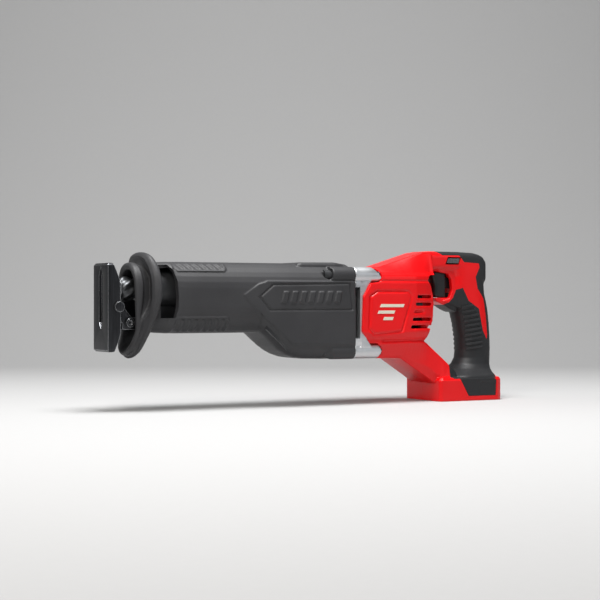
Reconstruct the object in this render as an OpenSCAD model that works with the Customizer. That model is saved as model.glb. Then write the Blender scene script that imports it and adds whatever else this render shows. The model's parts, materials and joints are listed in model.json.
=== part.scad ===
// Cordless reciprocating saw, bare tool.
// X runs along the tool from the shoe's working face (0) to the handle, Z is up, Y = 0 is the mid plane.
// The X axis is the axis of the spindle that carries the blade clamp.

/* [Overall] */
// Distance from the shoe's face to the rear of the rubber boot
boot_end = 277; // [265:1:335]
// Drop from the spindle axis to the underside of the battery foot
foot_drop = 124; // [103:1:150]

/* [Boot] */
// Width of the barrel
barrel_w = 72; // [68:1:87]
// Height of the barrel's top above the spindle axis
barrel_top = 28; // [27:0.5:34]
// Depth of the barrel's underside below the axis
barrel_drop = 45.5; // [45:0.5:48]
// Depth of the gear belly below the axis
belly_drop = 74.5; // [73:0.5:78]
// Wall of the rubber boot
boot_wall = 3.5; // [2.5:0.1:4]
// Width of the hand guard flange
guard_w = 79; // [72:1:95]

/* [Spindle and clamp] */
// Blade stroke
stroke = 28.6; // [23:0.1:34.5]
// Diameter of the spindle
spindle_d = 15; // [12.5:0.5:18]
// Outer diameter of the twist collar
collar_d = 26; // [24:0.5:28]
// Width of the blade shank that the clamp takes
shank_w = 12.7; // [12:0.1:13]
// Thickness of the blade slot
shank_t = 1.7; // [1.3:0.1:2]

/* [Shoe] */
// Width of the shoe
shoe_w = 40; // [33:0.5:48]
// Height of the shoe's face above the spindle axis
shoe_top = 26; // [22:0.5:31]
// Depth of the shoe's face below the spindle axis
shoe_drop = 63.5; // [55:0.5:66]
// Thickness of the shoe's plate
shoe_t = 2.5; // [2:0.1:3]
// How far the shoe slides forward
shoe_travel = 18; // [10:1:25]

/* [Drive] */
// Distance from the wobble shaft up to the spindle axis
arm_len = 42; // [41:0.5:43]
// Teeth of the drive gear
gear_teeth = 40; // [40:5:40]
// Teeth of the motor pinion
pinion_teeth = 8; // [8:1:8]
// Gear module
gear_module = 1; // [0.9:0.05:1]

/* [Motor] */
// Outer diameter of the motor can
motor_d = 54; // [45:1:64]
// Length of the motor can
motor_len = 36; // [32:1:38]

/* [Handle] */
// Width of the motor housing
housing_w = 75; // [72:1:90]
// Width of the grip
grip_w = 35; // [32:1:40]
// Width of the battery foot
foot_w = 73; // [66:1:80]
// Wall of the clamshell
wall = 3; // [2.5:0.1:3.5]
// Thickness of the rubber grip layer
skin = 2; // [1.5:0.1:2.5]
// Trigger travel
trigger_travel = 7; // [4:0.5:7]

/* [Hidden] */
$fn = 72;
cut = 1; // how far a cutting shape runs past the surface it cuts
gap = 0.3; // clearance between pieces on different bodies
run = 0.05; // radial clearance of a running fit
seat = 0.2; // clearance of a piece inside a casing pocket

// rear of the boot, which everything behind it follows
gx = boot_end;
// front barrel
bw = barrel_w / 2;
barrel_front = 68;
belly_start = gx - 110;
mouth_x = 27;
guard_x = 38;
guard_t = 11;
guard_hw = guard_w / 2;
mouth_r = 18.5;
mouth_low = -42.5;
nose_r = 24;
window_x0 = 52;
lobe_y = bw - 9;
lobe_top_z = barrel_top - 12.5;
lobe_low_z = -belly_drop + 8;
lobe_top_r = 9;
lobe_low_r = 8;
lobe_len = 36;

// spindle and clamp
spindle_r = spindle_d / 2;
clamp_r = spindle_r + 1.5;
clamp_x0 = 16;
clamp_x1 = 41;
collar_r = collar_d / 2;
collar_x0 = 18.2;
collar_x1 = 34;
bush_t = 3;
bush_len = 20;
cavity_end = clamp_x1 + stroke + 2;
seal_len = 4;
front_bush_x = cavity_end + seal_len + 2;
snout_r = max(22, collar_r + 6);
snout_x0 = 46;
snout_x1 = gx - 127;
rear_bush_x = snout_x1 - bush_len;

// wobble drive
hub_x = gx - 62;
hub_z = -arm_len;
hub_r = 14.2;
swing = stroke / 2 / arm_len * 180 / PI;
ball_r = 6;
ball_room = 0.18 + stroke / 2 - arm_len * sin(swing);
yoke_x = hub_x - stroke / 2;
yoke_len = 26;
yoke_hw = spindle_r + 3.5;
shaft_r = 6;
ring_r = 20;
ring_hw = 6;
gear_x = gx - 23;
gear_w = 12;
drive_bearing_r = 12;
front_bearing_r = 10;
front_bearing_x = gx - 91;
bearing_w = 10;

// motor
motor_z = hub_z + gear_module * (gear_teeth + pinion_teeth) / 2;
motor_r = motor_d / 2;
can_x = gx + 34;
can_end = can_x + motor_len;
cap_end = can_end + 21;
armature_r = motor_r - 6;
axle_r = 4;
nose_axle_r = 1.9;
motor_bearing_r = 9.5;
comm_r = 9;
bearing_x = gx + 2;
plate_x1 = gx + 13;
screw_r = 2.5;

// shoe
shoe_hw = shoe_w / 2;
ear_in = shoe_hw - shoe_t;
blade_hw = 5; // half the width of the blade slot
pivot_x = 12;
pivot_z = -18;
pivot_r = 3;
post_hw = 11;
post_z0 = -39;
post_z1 = -33;
post_end = 94 + shoe_travel;
guide_wall = 1.9;
bracket_hw = mouth_r - 5;

// handle
hw = housing_w / 2;
grip_hw = grip_w / 2;
foot_hw = foot_w / 2;
strut_hw = 27;
foot_z = -foot_drop;
foot_x0 = gx + 108.5;
foot_x1 = gx + 195;
shell_x0 = gx + 8;
trigger_hw = 8;
stem_x1 = gx + 151;
spring_r = 3.6;
spring_z = 8;
switch_x0 = gx + 163;
switch_x1 = gx + 181;
switch_hw = 10;
lead_z = 28.3;
pad_t = 1.5;
bay_hw = 28;
bay_top = foot_z + 16;
screw_places = [[gx + 70, 30], [gx + 120, 34], [gx + 183, 30], [gx + 60, -68],
    [gx + 100, foot_z + 42], [gx + 190, foot_z + 26]];

// ---------------------------------------------------------------- shared shapes

// round bar along X
module rod_x(x0, x1, r, y = 0, z = 0)
    translate([x0, y, z]) rotate([0, 90, 0]) cylinder(h = x1 - x0, r = r);

// round bar along Y
module rod_y(y0, y1, r, x, z)
    translate([x, y0, z]) rotate([-90, 0, 0]) cylinder(h = y1 - y0, r = r);

// ring or tube along X
module tube_x(x0, x1, ro, ri, z = 0)
    difference() {
        rod_x(x0, x1, ro, z = z);
        rod_x(x0 - cut, x1 + cut, ri, z = z);
    }

// box between two corners
module block(x0, x1, y0, y1, z0, z1)
    translate([x0, y0, z0]) cube([x1 - x0, y1 - y0, z1 - z0]);

// side outline (X, Z) given thickness across Y
module slab_y(y0, y1)
    translate([0, y1, 0]) rotate([90, 0, 0]) linear_extrude(y1 - y0) children();

// front outline (Y, Z) given length along X
module slab_x(x0, x1)
    translate([x0, 0, 0]) rotate([90, 0, 90]) linear_extrude(x1 - x0) children();

// bar along X with rounded long edges
module round_bar(x0, x1, w, z0, z1, r) {
    block(x0, x1, -w + r, w - r, z0, z1);
    block(x0, x1, -w, w, z0 + r, z1 - r);
    for (y = [-w + r, w - r], z = [z0 + r, z1 - r])
        rod_x(x0, x1, r, y, z);
}

// round wire wound about the X axis through the given height
module coil_x(x0, x1, r, wire, turns, z = 0) {
    steps = 12 * turns;
    sides = 8;
    function ring_point(i, k) =
        let (a = 30 * i, b = 360 * k / sides, q = r + wire * cos(b))
        [x0 + (x1 - x0) * i / steps + wire * sin(b), q * cos(a), z + q * sin(a)];
    points = [for (i = [0:steps], k = [0:sides - 1]) ring_point(i, k)];
    // each patch of the wire's skin is two flat triangles
    walls = [for (i = [0:steps - 1], k = [0:sides - 1], half = [0, 1])
        let (a = i * sides + k, b = i * sides + (k + 1) % sides)
        half == 0 ? [b, b + sides, a + sides] : [b, a + sides, a]];
    start = [for (k = [sides - 1:-1:0]) k];
    finish = [for (k = [0:sides - 1]) steps * sides + k];
    polyhedron(points, concat(walls, [start, finish]));
}

// insulated wire through a list of points
module wire(points, r)
    for (i = [0:len(points) - 2]) {
        v = points[i + 1] - points[i];
        translate(points[i]) {
            rotate([0, acos(v[2] / norm(v)), atan2(v[1], v[0])]) cylinder(h = norm(v), r = r, $fn = 24);
            sphere(1.1 * r, $fn = 24);
        }
    }

// spur gear along X, centred on the X axis, with trapezoid teeth
module gear_x(x0, x1, teeth, turn) {
    pitch_r = gear_module * teeth / 2;
    step = 360 / teeth;
    // half angles of a tooth at its root, at the pitch circle and at its tip
    root_a = step * 0.32;
    pitch_a = step * 0.225;
    tip_a = step * 0.12;
    root_r = pitch_r - 1.2 * gear_module;
    tip_r = pitch_r + 0.9 * gear_module;
    slab_x(x0, x1) rotate(turn) polygon([for (i = [0:teeth - 1],
        p = [[root_r, -root_a], [pitch_r, -pitch_a], [tip_r, -tip_a],
            [tip_r, tip_a], [pitch_r, pitch_a], [root_r, root_a]])
        [p[0] * cos(i * step + p[1]), p[0] * sin(i * step + p[1])]]);
}

module left_half() intersection() {
    children();
    block(-cut, gx + 250, -100, 0, -200, 100);
}

module right_half() intersection() {
    children();
    block(-cut, gx + 250, 0, 100, -200, 100);
}

// ---------------------------------------------------------------- boot and casings

// side outline of the belly under the gears, set in by a wall
module belly_outline(inset) {
    low = -belly_drop + inset;
    polygon([[belly_start + inset, 0], [belly_start + inset, -barrel_drop + inset],
        [belly_start + 17 + inset, -barrel_drop - 15 + inset], [belly_start + 32, low + 5],
        [belly_start + 48, low + 1], [belly_start + 73, low], [gx, low], [gx, 0]]);
}

// barrel with its belly and screw lobes, set in by a wall
module barrel_solid(inset, x0, lobe_inset) {
    round_bar(x0, gx, bw - inset, -barrel_drop + inset, barrel_top - inset, bw - 12);
    intersection() {
        round_bar(belly_start, gx, bw - inset, -belly_drop + inset, barrel_top - inset, bw - 16);
        slab_y(-bw, bw) belly_outline(inset);
    }
    for (side = [-1, 1]) {
        rod_x(gx - lobe_len, gx, lobe_top_r - lobe_inset, side * lobe_y, lobe_top_z);
        rod_x(gx - lobe_len, gx, lobe_low_r - lobe_inset, side * lobe_y, lobe_low_z);
    }
}

// front outline of the guard flange
module guard_outline() {
    hull() {
        translate([0, 16]) circle(22);
        for (side = [-1, 1])
            translate([side * (guard_hw - 20), 0]) circle(20);
        translate([0, -50]) circle(21);
    }
}

// front outline of the nose tube and of its mouth
module nose_outline(r) {
    translate([0, 2]) circle(r);
    translate([0, mouth_low]) circle(r);
    translate([-r, mouth_low]) square([2 * r, 2 - mouth_low]);
}

module front_boot() color("dimgray") difference() {
    union() {
        barrel_solid(0, barrel_front, 0);
        round_bar(guard_x, barrel_front, bw - 6, -barrel_drop, barrel_top, bw - 16);
        slab_x(mouth_x, guard_x + guard_t) nose_outline(nose_r);
        slab_x(guard_x, guard_x + guard_t) guard_outline();
    }
    // mouth, chamber round the clamp and cavity for the gear case
    slab_x(mouth_x - cut, window_x0 - 2) nose_outline(mouth_r);
    round_bar(window_x0 - 6, barrel_front + 4, bw - 9.5, -barrel_drop + 2.3, barrel_top - boot_wall, bw - 20);
    difference() {
        barrel_solid(boot_wall, barrel_front + boot_wall, 3.2);
        // the cavity stays open at the rear only
        block(barrel_front, barrel_front + boot_wall, -bw, bw, -belly_drop, barrel_top);
    }
    block(gx - 0.1, gx + cut, -bw + 6, bw - 6, -barrel_drop, barrel_top - 6);
    // side windows
    for (side = [-1, 1])
        translate([0, side * bw, 0]) block(window_x0, barrel_front - 0.5, -16, 16, -30, 24.5);
}

// cast snout that carries the two spindle bushings and the channel of the shoe's post
module spindle_housing() color("#222222") difference() {
    union() {
        rod_x(snout_x0, snout_x1, snout_r);
        round_bar(snout_x1 - 6, snout_x1, 27, -24, snout_r, 12);
        block(snout_x0 + 4, post_end + 10, -post_hw - guide_wall, post_hw + guide_wall,
            post_z0 - gap - guide_wall, -15);
    }
    rod_x(snout_x0 - cut, cavity_end, collar_r + 2);
    rod_x(cavity_end - cut, cavity_end + seal_len, spindle_r + 4);
    rod_x(cavity_end, snout_x1 + cut, spindle_r + 0.5);
    rod_x(front_bush_x, front_bush_x + bush_len, spindle_r + bush_t);
    rod_x(rear_bush_x, snout_x1 + cut, spindle_r + bush_t);
    block(snout_x0, post_end + 10 + cut, -post_hw - gap, post_hw + gap, post_z0 - gap, post_z1 + gap);
}

// outer form of the gear case, inside the boot
module case_form() intersection() {
    barrel_solid(boot_wall + seat, barrel_front, 3.4);
    block(snout_x1, gx, -bw, bw, -belly_drop, barrel_top);
}

// space inside the gear case
module case_space() {
    inset = boot_wall + 3;
    difference() {
        intersection() {
            union() {
                round_bar(barrel_front, gx + cut, bw - inset, -barrel_drop + inset,
                    barrel_top - inset, bw - 16);
                intersection() {
                    round_bar(belly_start, gx + cut, bw - inset, -belly_drop + inset,
                        barrel_top - inset, bw - 18);
                    slab_y(-bw, bw) belly_outline(inset);
                }
                block(gx - 8, gx + cut, -bw + inset, bw - inset, -belly_drop + 14, barrel_top - inset);
            }
            block(snout_x1 + 4, gx + cut, -bw, bw, -belly_drop, barrel_top);
        }
        // screw bosses
        for (side = [-1, 1], z = [lobe_top_z, lobe_low_z])
            rod_x(gx - lobe_len, gx + 2 * cut, 5.5, side * lobe_y, z);
        // wall that carries the front bearing of the wobble shaft
        block(front_bearing_x - 3, front_bearing_x + bearing_w, -bw, bw, -belly_drop, hub_z + 16);
    }
    rod_x(snout_x1 - cut, snout_x1 + 5, spindle_r + 1);
}

module gear_case_whole() difference() {
    case_form();
    case_space();
    rod_x(front_bearing_x, front_bearing_x + bearing_w + cut, front_bearing_r, z = hub_z);
    for (side = [-1, 1], z = [lobe_top_z, lobe_low_z])
        rod_x(gx - lobe_len + 6, gx + cut, screw_r, side * lobe_y, z);
}

module gear_case() color("#2b2b2d") intersection() {
    gear_case_whole();
    block(0, gx + cut, -bw, bw, -belly_drop - cut, 0);
}

module gear_case_cover() color("#303033") intersection() {
    gear_case_whole();
    block(0, gx + cut, -bw, bw, 0, barrel_top + cut);
}

// silver casting between the gear case and the motor
module bulkhead() color("silver") difference() {
    union() {
        round_bar(gx, plate_x1, bw - 1, -belly_drop + 3, barrel_top - 4, bw - 16);
        for (side = [-1, 1]) {
            rod_x(gx, gx + 32, lobe_top_r, side * lobe_y, lobe_top_z);
            rod_x(gx, gx + 32, lobe_low_r, side * lobe_y, lobe_low_z);
            block(gx, gx + 32, min(side * 8, side * lobe_y), max(side * 8, side * lobe_y),
                lobe_top_z - 2, lobe_top_z + lobe_top_r);
        }
    }
    rod_x(bearing_x, bearing_x + bearing_w, drive_bearing_r, z = hub_z);
    rod_x(gx - cut, bearing_x + cut, drive_bearing_r - 2, z = hub_z);
    rod_x(bearing_x, plate_x1 + cut, motor_bearing_r, z = motor_z);
    rod_x(gx - cut, bearing_x + cut, axle_r + 3, z = motor_z);
    for (side = [-1, 1], z = [lobe_top_z, lobe_low_z])
        rod_x(gx - cut, gx + 32 + cut, screw_r, side * lobe_y, z);
}

module gear_case_screws() color("#444444")
    for (side = [-1, 1], z = [lobe_top_z, lobe_low_z]) {
        rod_x(gx - lobe_len + 7, gx + 32, screw_r, side * lobe_y, z);
        difference() {
            rod_x(gx + 32, gx + 35, 4.2, side * lobe_y, z);
            rod_x(gx + 33.5, gx + 35 + cut, 2, side * lobe_y, z, $fn = 6);
        }
    }

// ---------------------------------------------------------------- handle and motor shells

// side outline of the motor housing
module motor_outline() polygon([[shell_x0, -63], [shell_x0, 24.5], [gx + 40, 25], [gx + 97, 42],
    [gx + 116, 43.5], [gx + 116, 18], [gx + 99, 16], [gx + 97, 11], [gx + 103.5, -4.5],
    [gx + 104.3, -16], [gx + 103, -34], [gx + 97, -47.5], [gx + 86, -63]]);

// plan outline of the motor housing, drawn in towards the handle
module housing_plan() polygon([[shell_x0, -hw], [gx + 66, -hw], [gx + 90, -hw + 6], [gx + 120, -grip_hw],
    [gx + 120, grip_hw], [gx + 90, hw - 6], [gx + 66, hw], [shell_x0, hw]]);

// side outline of the strut that joins the motor housing to the foot
module strut_outline() polygon([[gx + 9, -50], [gx + 9, -74.5], [gx + 66, -75.5],
    [foot_x0, foot_z + 20], [gx + 140, foot_z + 22], [gx + 138, foot_z + 34], [gx + 91, -54]]);

// side outline of the handle
module handle_outline() polygon([[gx + 99, 42], [gx + 116, 43.5], [gx + 162, 43.3], [gx + 180, 40],
    [gx + 189, 33], [gx + 190.5, 25], [gx + 188, 15], [gx + 188, 8], [gx + 191, -8],
    [gx + 197, foot_z + 91], [gx + 200, foot_z + 72], [gx + 201, foot_z + 56], [gx + 200, foot_z + 42],
    [gx + 197, foot_z + 30], [gx + 195, foot_z + 20], [gx + 133, foot_z + 20], [gx + 133, foot_z + 33],
    [gx + 145.5, foot_z + 43], [gx + 147, foot_z + 57], [gx + 145.5, foot_z + 70], [gx + 140, foot_z + 87],
    [gx + 135.5, -18], [gx + 132, -14.5], [gx + 124, -12], [gx + 123, -9.5], [gx + 133, -9.5],
    [gx + 142, 21], [gx + 99, 21]]);

// side outline of the battery foot
module foot_outline() polygon([[foot_x0, foot_z], [foot_x0, foot_z + 20], [gx + 134, foot_z + 26],
    [gx + 178, foot_z + 26], [gx + 188, foot_z + 23], [foot_x1, foot_z + 16], [foot_x1, foot_z]]);

// side outline of the part of the handle that rubber covers
module rubber_outline() polygon([[gx + 116, 50], [gx + 210, 50], [gx + 210, 36], [gx + 176, 28],
    [gx + 172, 16], [gx + 175, 1], [gx + 184, -10], [gx + 189, foot_z + 68], [gx + 191, foot_z + 68],
    [gx + 193, -10], [gx + 210, -10], [gx + 210, foot_z + 36], [gx + 133, foot_z + 36],
    [gx + 118, -8], [gx + 118, 30]]);

module handle_form(inset)
    for (step = [0, 1])
        slab_y(-grip_hw + inset + 3 * step, grip_hw - inset - 3 * step)
            offset(delta = -inset - 3 + 3 * step) handle_outline();

// rubber layer round the grip
module grip_skin() difference() {
    intersection() {
        handle_form(0);
        slab_y(-grip_hw - cut, grip_hw + cut) rubber_outline();
    }
    handle_form(skin);
    trigger_slot();
    lock_hole();
    for (p = screw_places)
        rod_y(screw_face(p), hw + cut, 3.4, p[0], p[1]);
    block(gx, gx + 250, -100, 100, foot_z - cut, foot_z + 26);
}

// space that the trigger needs
module trigger_slot() {
    block(gx + 99, gx + 143, -trigger_hw - gap, trigger_hw + gap, -9.2, 20.9);
    block(gx + 140, gx + 162, -5.5 - gap, 5.5 + gap, 2 - gap, 14 + gap);
}

module lock_outline(room) polygon([[gx + 130 - room, 30 - room], [gx + 146 + room, 30 - room],
    [gx + 148 + room, 36 + room], [gx + 132 - room, 36 + room]]);

module lock_hole() slab_y(-grip_hw - cut, grip_hw + cut) lock_outline(gap);

// hollow inside both shells
module shell_space() {
    // motor room
    intersection() {
        round_bar(shell_x0 - cut, gx + 96, hw - wall, -63 + wall, 40, 22);
        slab_y(-hw, hw) offset(delta = -wall) union() {
            motor_outline();
            translate([shell_x0 - 10, -63]) square([20, 87.5]);
        }
        linear_extrude(200, center = true) offset(delta = -wall) union() {
            housing_plan();
            translate([shell_x0 - 10, -hw]) square([20, 2 * hw]);
        }
    }
    // passages from the motor room through the top bar and the strut
    block(gx + 80, gx + 130, -grip_hw + 5, grip_hw - 5, 24, 36);
    slab_y(-strut_hw + wall, strut_hw - wall) offset(delta = -wall) strut_outline();
    slab_y(-grip_hw + skin + wall, grip_hw - skin - wall)
        offset(delta = -wall - skin - 1) handle_outline();
}

// battery bay in the underside of the foot, open to the rear, with a lip along each side
module battery_bay() {
    block(foot_x0 + 6, foot_x1 + cut, -bay_hw, bay_hw, foot_z + 4, bay_top);
    block(foot_x0 + 6, foot_x1 + cut, -bay_hw + 4, bay_hw - 4, foot_z - cut, foot_z + 5);
}

module shell_form() {
    intersection() {
        round_bar(shell_x0, gx + 121, hw, -63, 44, 24);
        slab_y(-hw, hw) motor_outline();
        linear_extrude(200, center = true) housing_plan();
    }
    slab_y(-strut_hw, strut_hw) strut_outline();
    handle_form(0);
    intersection() {
        slab_y(-foot_hw, foot_hw) foot_outline();
        translate([foot_x0, -foot_hw, foot_z - cut]) linear_extrude(60) {
            square([foot_x1 - foot_x0 - 9, foot_w]);
            translate([0, 9]) square([foot_x1 - foot_x0, foot_w - 18]);
            for (y = [9, foot_w - 9])
                translate([foot_x1 - foot_x0 - 9, y]) circle(9);
        }
    }
}

module shell_whole() difference() {
    shell_form();
    difference() {
        shell_space();
        battery_roof();
        for (p = screw_places)
            rod_y(-hw, hw, 4.5, p[0], p[1]);
    }
    battery_bay();
    grip_skin();
    trigger_slot();
    lock_hole();
    foot_pads();
    // room for the bulkhead and its lobes
    round_bar(gx, plate_x1 + seat, bw - 1 + seat, -belly_drop + 3 - seat, barrel_top - 4 + seat, bw - 16);
    for (side = [-1, 1]) {
        rod_x(gx, gx + 32 + seat, lobe_top_r + seat, side * lobe_y, lobe_top_z);
        rod_x(gx, gx + 36, lobe_low_r + seat, side * lobe_y, lobe_low_z);
        rod_x(gx, gx + 36, 4.4, side * lobe_y, lobe_top_z);
        translate([0, side * 50, 0])
            block(gx, gx + 32 + seat, -50 + lobe_y - 19, 50, lobe_top_z - 2, lobe_top_z + 40);
        translate([0, side * 50, 0]) block(gx, gx + 32 + seat, -50 + lobe_y, 50, lobe_low_z - 20, lobe_low_z);
    }
    translate([gx, 0, barrel_top]) cube([2 * (32 + seat), 40, 40], center = true);
    // vents beside the brushes
    for (side = [-1, 1], i = [0:4])
        translate([gx + 84, side * hw, -8 - 8.3 * i]) cube([25, 24, 2.6], center = true);
    // clamshell screws
    for (p = screw_places) {
        rod_y(-8, hw + cut, 1.8, p[0], p[1]);
        rod_y(screw_face(p), hw + cut, 3.4, p[0], p[1]);
    }
}

// depth of a clamshell screw's head, by the width of the shell where it sits
function screw_face(p) = p[0] < gx + 115 ? 15 : 9;

// floor between the battery bay and the hollow handle
module battery_roof()
    block(foot_x0 - 20, foot_x1 + cut, -foot_hw, foot_hw, foot_z - cut, bay_top + wall);

module shell_left() color("crimson") left_half() shell_whole();
module shell_right() color("crimson") right_half() shell_whole();
module grip_overmold_left() color("#26282a") left_half() grip_skin();
module grip_overmold_right() color("#26282a") right_half() grip_skin();

// rubber pads let into both sides of the foot
module foot_pads()
    for (side = [-1, 1])
        translate([0, side * (foot_hw - pad_t / 2), 0]) slab_y(-pad_t / 2, pad_t / 2)
            polygon([[gx + 134, foot_z + 26], [gx + 146, foot_z + 5], [gx + 183, foot_z + 4.5],
                [gx + 184, foot_z + 23], [gx + 178, foot_z + 26]]);

module foot_pad_left() color("#333638") intersection() {
    foot_pads();
    left_half() shell_form();
}
module foot_pad_right() color("#333638") intersection() {
    foot_pads();
    right_half() shell_form();
}

module clamshell_screws() color("#555555")
    for (p = screw_places) {
        rod_y(-7, screw_face(p), 1.8, p[0], p[1]);
        difference() {
            rod_y(screw_face(p), screw_face(p) + 2.5, 3.2, p[0], p[1]);
            rod_y(screw_face(p) + 1.2, screw_face(p) + 2.5 + cut, 1.6, p[0], p[1], $fn = 6);
        }
    }

// ---------------------------------------------------------------- electrical pieces

module terminal_block() color("#1c1c1c") difference() {
    block(foot_x0 + 6, foot_x0 + 20, -16, 16, bay_top - 11, bay_top);
    for (y = [-10, -3.4, 3.4, 10])
        block(foot_x0 + 10, foot_x0 + 20 + cut, y - 0.6, y + 0.6, bay_top - 10, bay_top - 2);
}

module terminals() color("goldenrod")
    for (y = [-10, -3.4, 3.4, 10])
        block(foot_x0 + 10, foot_x0 + 30, y - 0.5, y + 0.5, bay_top - 9.5, bay_top - 2.5);

module switch_body() color("#202020") block(switch_x0, switch_x1, -switch_hw, switch_hw, -14, 24);

module switch_heat_sink() color("lightgray")
    for (i = [0:3])
        block(switch_x0 + 1, switch_x1 - 1, -9 + 5 * i, -6 + 5 * i, -22, -14);

module trigger_spring() color("gray")
    coil_x(stem_x1 + 0.6, switch_x0 - 0.6, spring_r, 0.5, 5, spring_z);

module motor_can() color("#8a8a8a") tube_x(can_x, can_end, motor_r, motor_r - 2, motor_z);

module motor_magnets() color("#3a3a3a") difference() {
    tube_x(can_x + 2, can_end - 2, motor_r - 2, armature_r + 0.7, motor_z);
    block(can_x, can_end, -motor_r, motor_r, motor_z - 5, motor_z + 5);
}

module motor_end_cap() color("#1f1f1f") difference() {
    union() {
        tube_x(can_end, cap_end - 4, motor_r, motor_r - 2.5, motor_z);
        rod_x(cap_end - 4, cap_end, motor_r, z = motor_z);
        rod_x(cap_end - 10, cap_end - 4, motor_bearing_r + 2, z = motor_z);
    }
    rod_x(cap_end - 10 - cut, cap_end - 2, motor_bearing_r, z = motor_z);
}

module brush_holders() color("#c9a54b")
    for (side = [-1, 1])
        difference() {
            block(can_end + 1, can_end + 9, side * 17 - 6, side * 17 + 6, motor_z - 4, motor_z + 4);
            block(can_end + 2.5, can_end + 7.5, side * 17 - 7, side * 17 + 7, motor_z - 2.5, motor_z + 2.5);
        }

module brushes() color("#151515")
    for (side = [-1, 1])
        translate([0, side * 13.4, 0])
            block(can_end + 2.6, can_end + 7.4, -4.2, 4.2, motor_z - 2.4, motor_z + 2.4);

module brush_springs() color("silver")
    for (side = [-1, 1])
        translate([can_end + 5, side * 18, motor_z])
            rotate([0, 0, side * 90]) coil_x(0, 4.6, 1.6, 0.3, 4);

// ball bearing drawn as its two rings with the balls between
module bearing(x0, x1, z, ro, ri) {
    mid = (ro + ri) / 2;
    t = (ro - ri) * 0.3;
    tube_x(x0, x1, ro, ro - t, z);
    tube_x(x0, x1, ri + t, ri, z);
    for (i = [0:7])
        translate([(x0 + x1) / 2, mid * cos(45 * i), z + mid * sin(45 * i)]) sphere((ro - ri) * 0.22, $fn = 24);
}

module motor_bearing_front() color("silver")
    bearing(bearing_x, bearing_x + bearing_w, motor_z, motor_bearing_r, axle_r + run);
module motor_bearing_rear() color("silver")
    bearing(cap_end - 9, cap_end - 2, motor_z, motor_bearing_r, axle_r + run);
module wobble_bearing_front() color("silver")
    bearing(front_bearing_x, front_bearing_x + bearing_w, hub_z, front_bearing_r, shaft_r + run);
module wobble_bearing_rear() color("silver")
    bearing(bearing_x, bearing_x + bearing_w, hub_z, drive_bearing_r, shaft_r + run);

module front_bushing() color("#b5843c")
    tube_x(front_bush_x, front_bush_x + bush_len, spindle_r + bush_t, spindle_r + run);
module rear_bushing() color("#b5843c")
    tube_x(rear_bush_x, rear_bush_x + bush_len, spindle_r + bush_t, spindle_r + run);
module spindle_seal() color("#111111")
    tube_x(cavity_end, cavity_end + seal_len, spindle_r + 4, spindle_r + run);

// leads from the terminals up the grip to the switch
module battery_leads() color("#b01818")
    for (side = [-1, 1])
        wire([[gx + 170, side * 5, foot_z + 27.5], [gx + 174, side * 5, foot_z + 50],
            [gx + 172, side * 4, -40], [gx + 173, side * 4, -24]], 1.3);

// leads from the switch through the top bar to the brushes
module motor_leads() color("#202020")
    for (side = [-1, 1])
        wire([[gx + 168, side * 6, 25.8], [gx + 158, side * 6, lead_z], [gx + 128, side * 7, lead_z],
            [gx + 90, side * 8, lead_z], [gx + 86, side * 10, 18], [gx + 84, side * 10, 11]], 1.15);

// ---------------------------------------------------------------- spindle and blade clamp

module spindle() color("#b9bcc0") rod_x(clamp_x1 - 11, yoke_x - yoke_len / 2 + 6, spindle_r);

module drive_yoke() color("#8f9296") difference() {
    block(yoke_x - yoke_len / 2, yoke_x + yoke_len / 2, -yoke_hw, yoke_hw, -yoke_hw, yoke_hw);
    rod_x(yoke_x - yoke_len / 2 - cut, yoke_x - yoke_len / 2 + 6, spindle_r);
    // pocket for the ball, flared below for the arm
    slab_y(-ball_r - gap, ball_r + gap) polygon([[yoke_x - ball_r - ball_room, ball_r + 1],
        [yoke_x + ball_r + ball_room, ball_r + 1], [yoke_x + ball_r + ball_room, -4],
        [yoke_x + 11, -yoke_hw - cut], [yoke_x - 11, -yoke_hw - cut], [yoke_x - ball_r - ball_room, -4]]);
}

module clamp_body() color("#75787c") difference() {
    union() {
        rod_x(clamp_x0, clamp_x1, clamp_r);
        rod_x(clamp_x1 - 3, clamp_x1, collar_r - 0.5);
    }
    rod_x(clamp_x1 - 11, clamp_x1 + cut, spindle_r);
    block(clamp_x0 - cut, clamp_x0 + 14, -shank_t / 2, shank_t / 2, -shank_w / 2, shank_w / 2);
    rod_y(0, clamp_r + cut, 1.5, clamp_x0 + 8, 0);
}

module clamp_pin() color("#d0d2d4") rod_y(shank_t / 2 + 0.1, clamp_r - 0.3, 1.5, clamp_x0 + 8, 0);
module clamp_retaining_ring() color("#3c3c3c") tube_x(clamp_x0 + 0.6, clamp_x0 + 1.9, clamp_r + 2.5, clamp_r);
module clamp_spring() color("silver") coil_x(collar_x1 + 1.2, clamp_x1 - 3.9, clamp_r + 1.6, 0.4, 2);

module clamp_collar() color("#8d9094") difference() {
    union() {
        rod_x(collar_x0, collar_x1, collar_r - 1.2);
        for (i = [0:11])
            rotate([30 * i, 0, 0]) translate([collar_x0, -1.6, clamp_r + 1])
                cube([collar_x1 - collar_x0, 3.2, collar_r - clamp_r - 1]);
    }
    rod_x(collar_x0 - cut, collar_x1 + cut, clamp_r + run);
}

// ---------------------------------------------------------------- wobble drive

// the arm is drawn upright about the hub's centre, then laid to its rest angle
module wobble_arm() color("#9a9da1")
    translate([hub_x, 0, hub_z]) rotate([0, -swing, 0]) {
        difference() {
            rod_x(-ring_hw, ring_hw, ring_r);
            sphere(hub_r + run);
        }
        difference() {
            cylinder(h = arm_len, r = 4);
            sphere(hub_r + 2);
        }
        translate([0, 0, arm_len]) sphere(ball_r);
    }

module wobble_shaft() color("#a9acb0") rod_x(front_bearing_x, bearing_x + bearing_w, shaft_r, z = hub_z);

module wobble_hub() color("#86898d") translate([hub_x, 0, hub_z]) difference() {
    intersection() {
        sphere(hub_r);
        block(-12, 12, -hub_r, hub_r, -hub_r, hub_r);
    }
    rod_x(-hub_r - cut, hub_r + cut, shaft_r);
}

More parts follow.
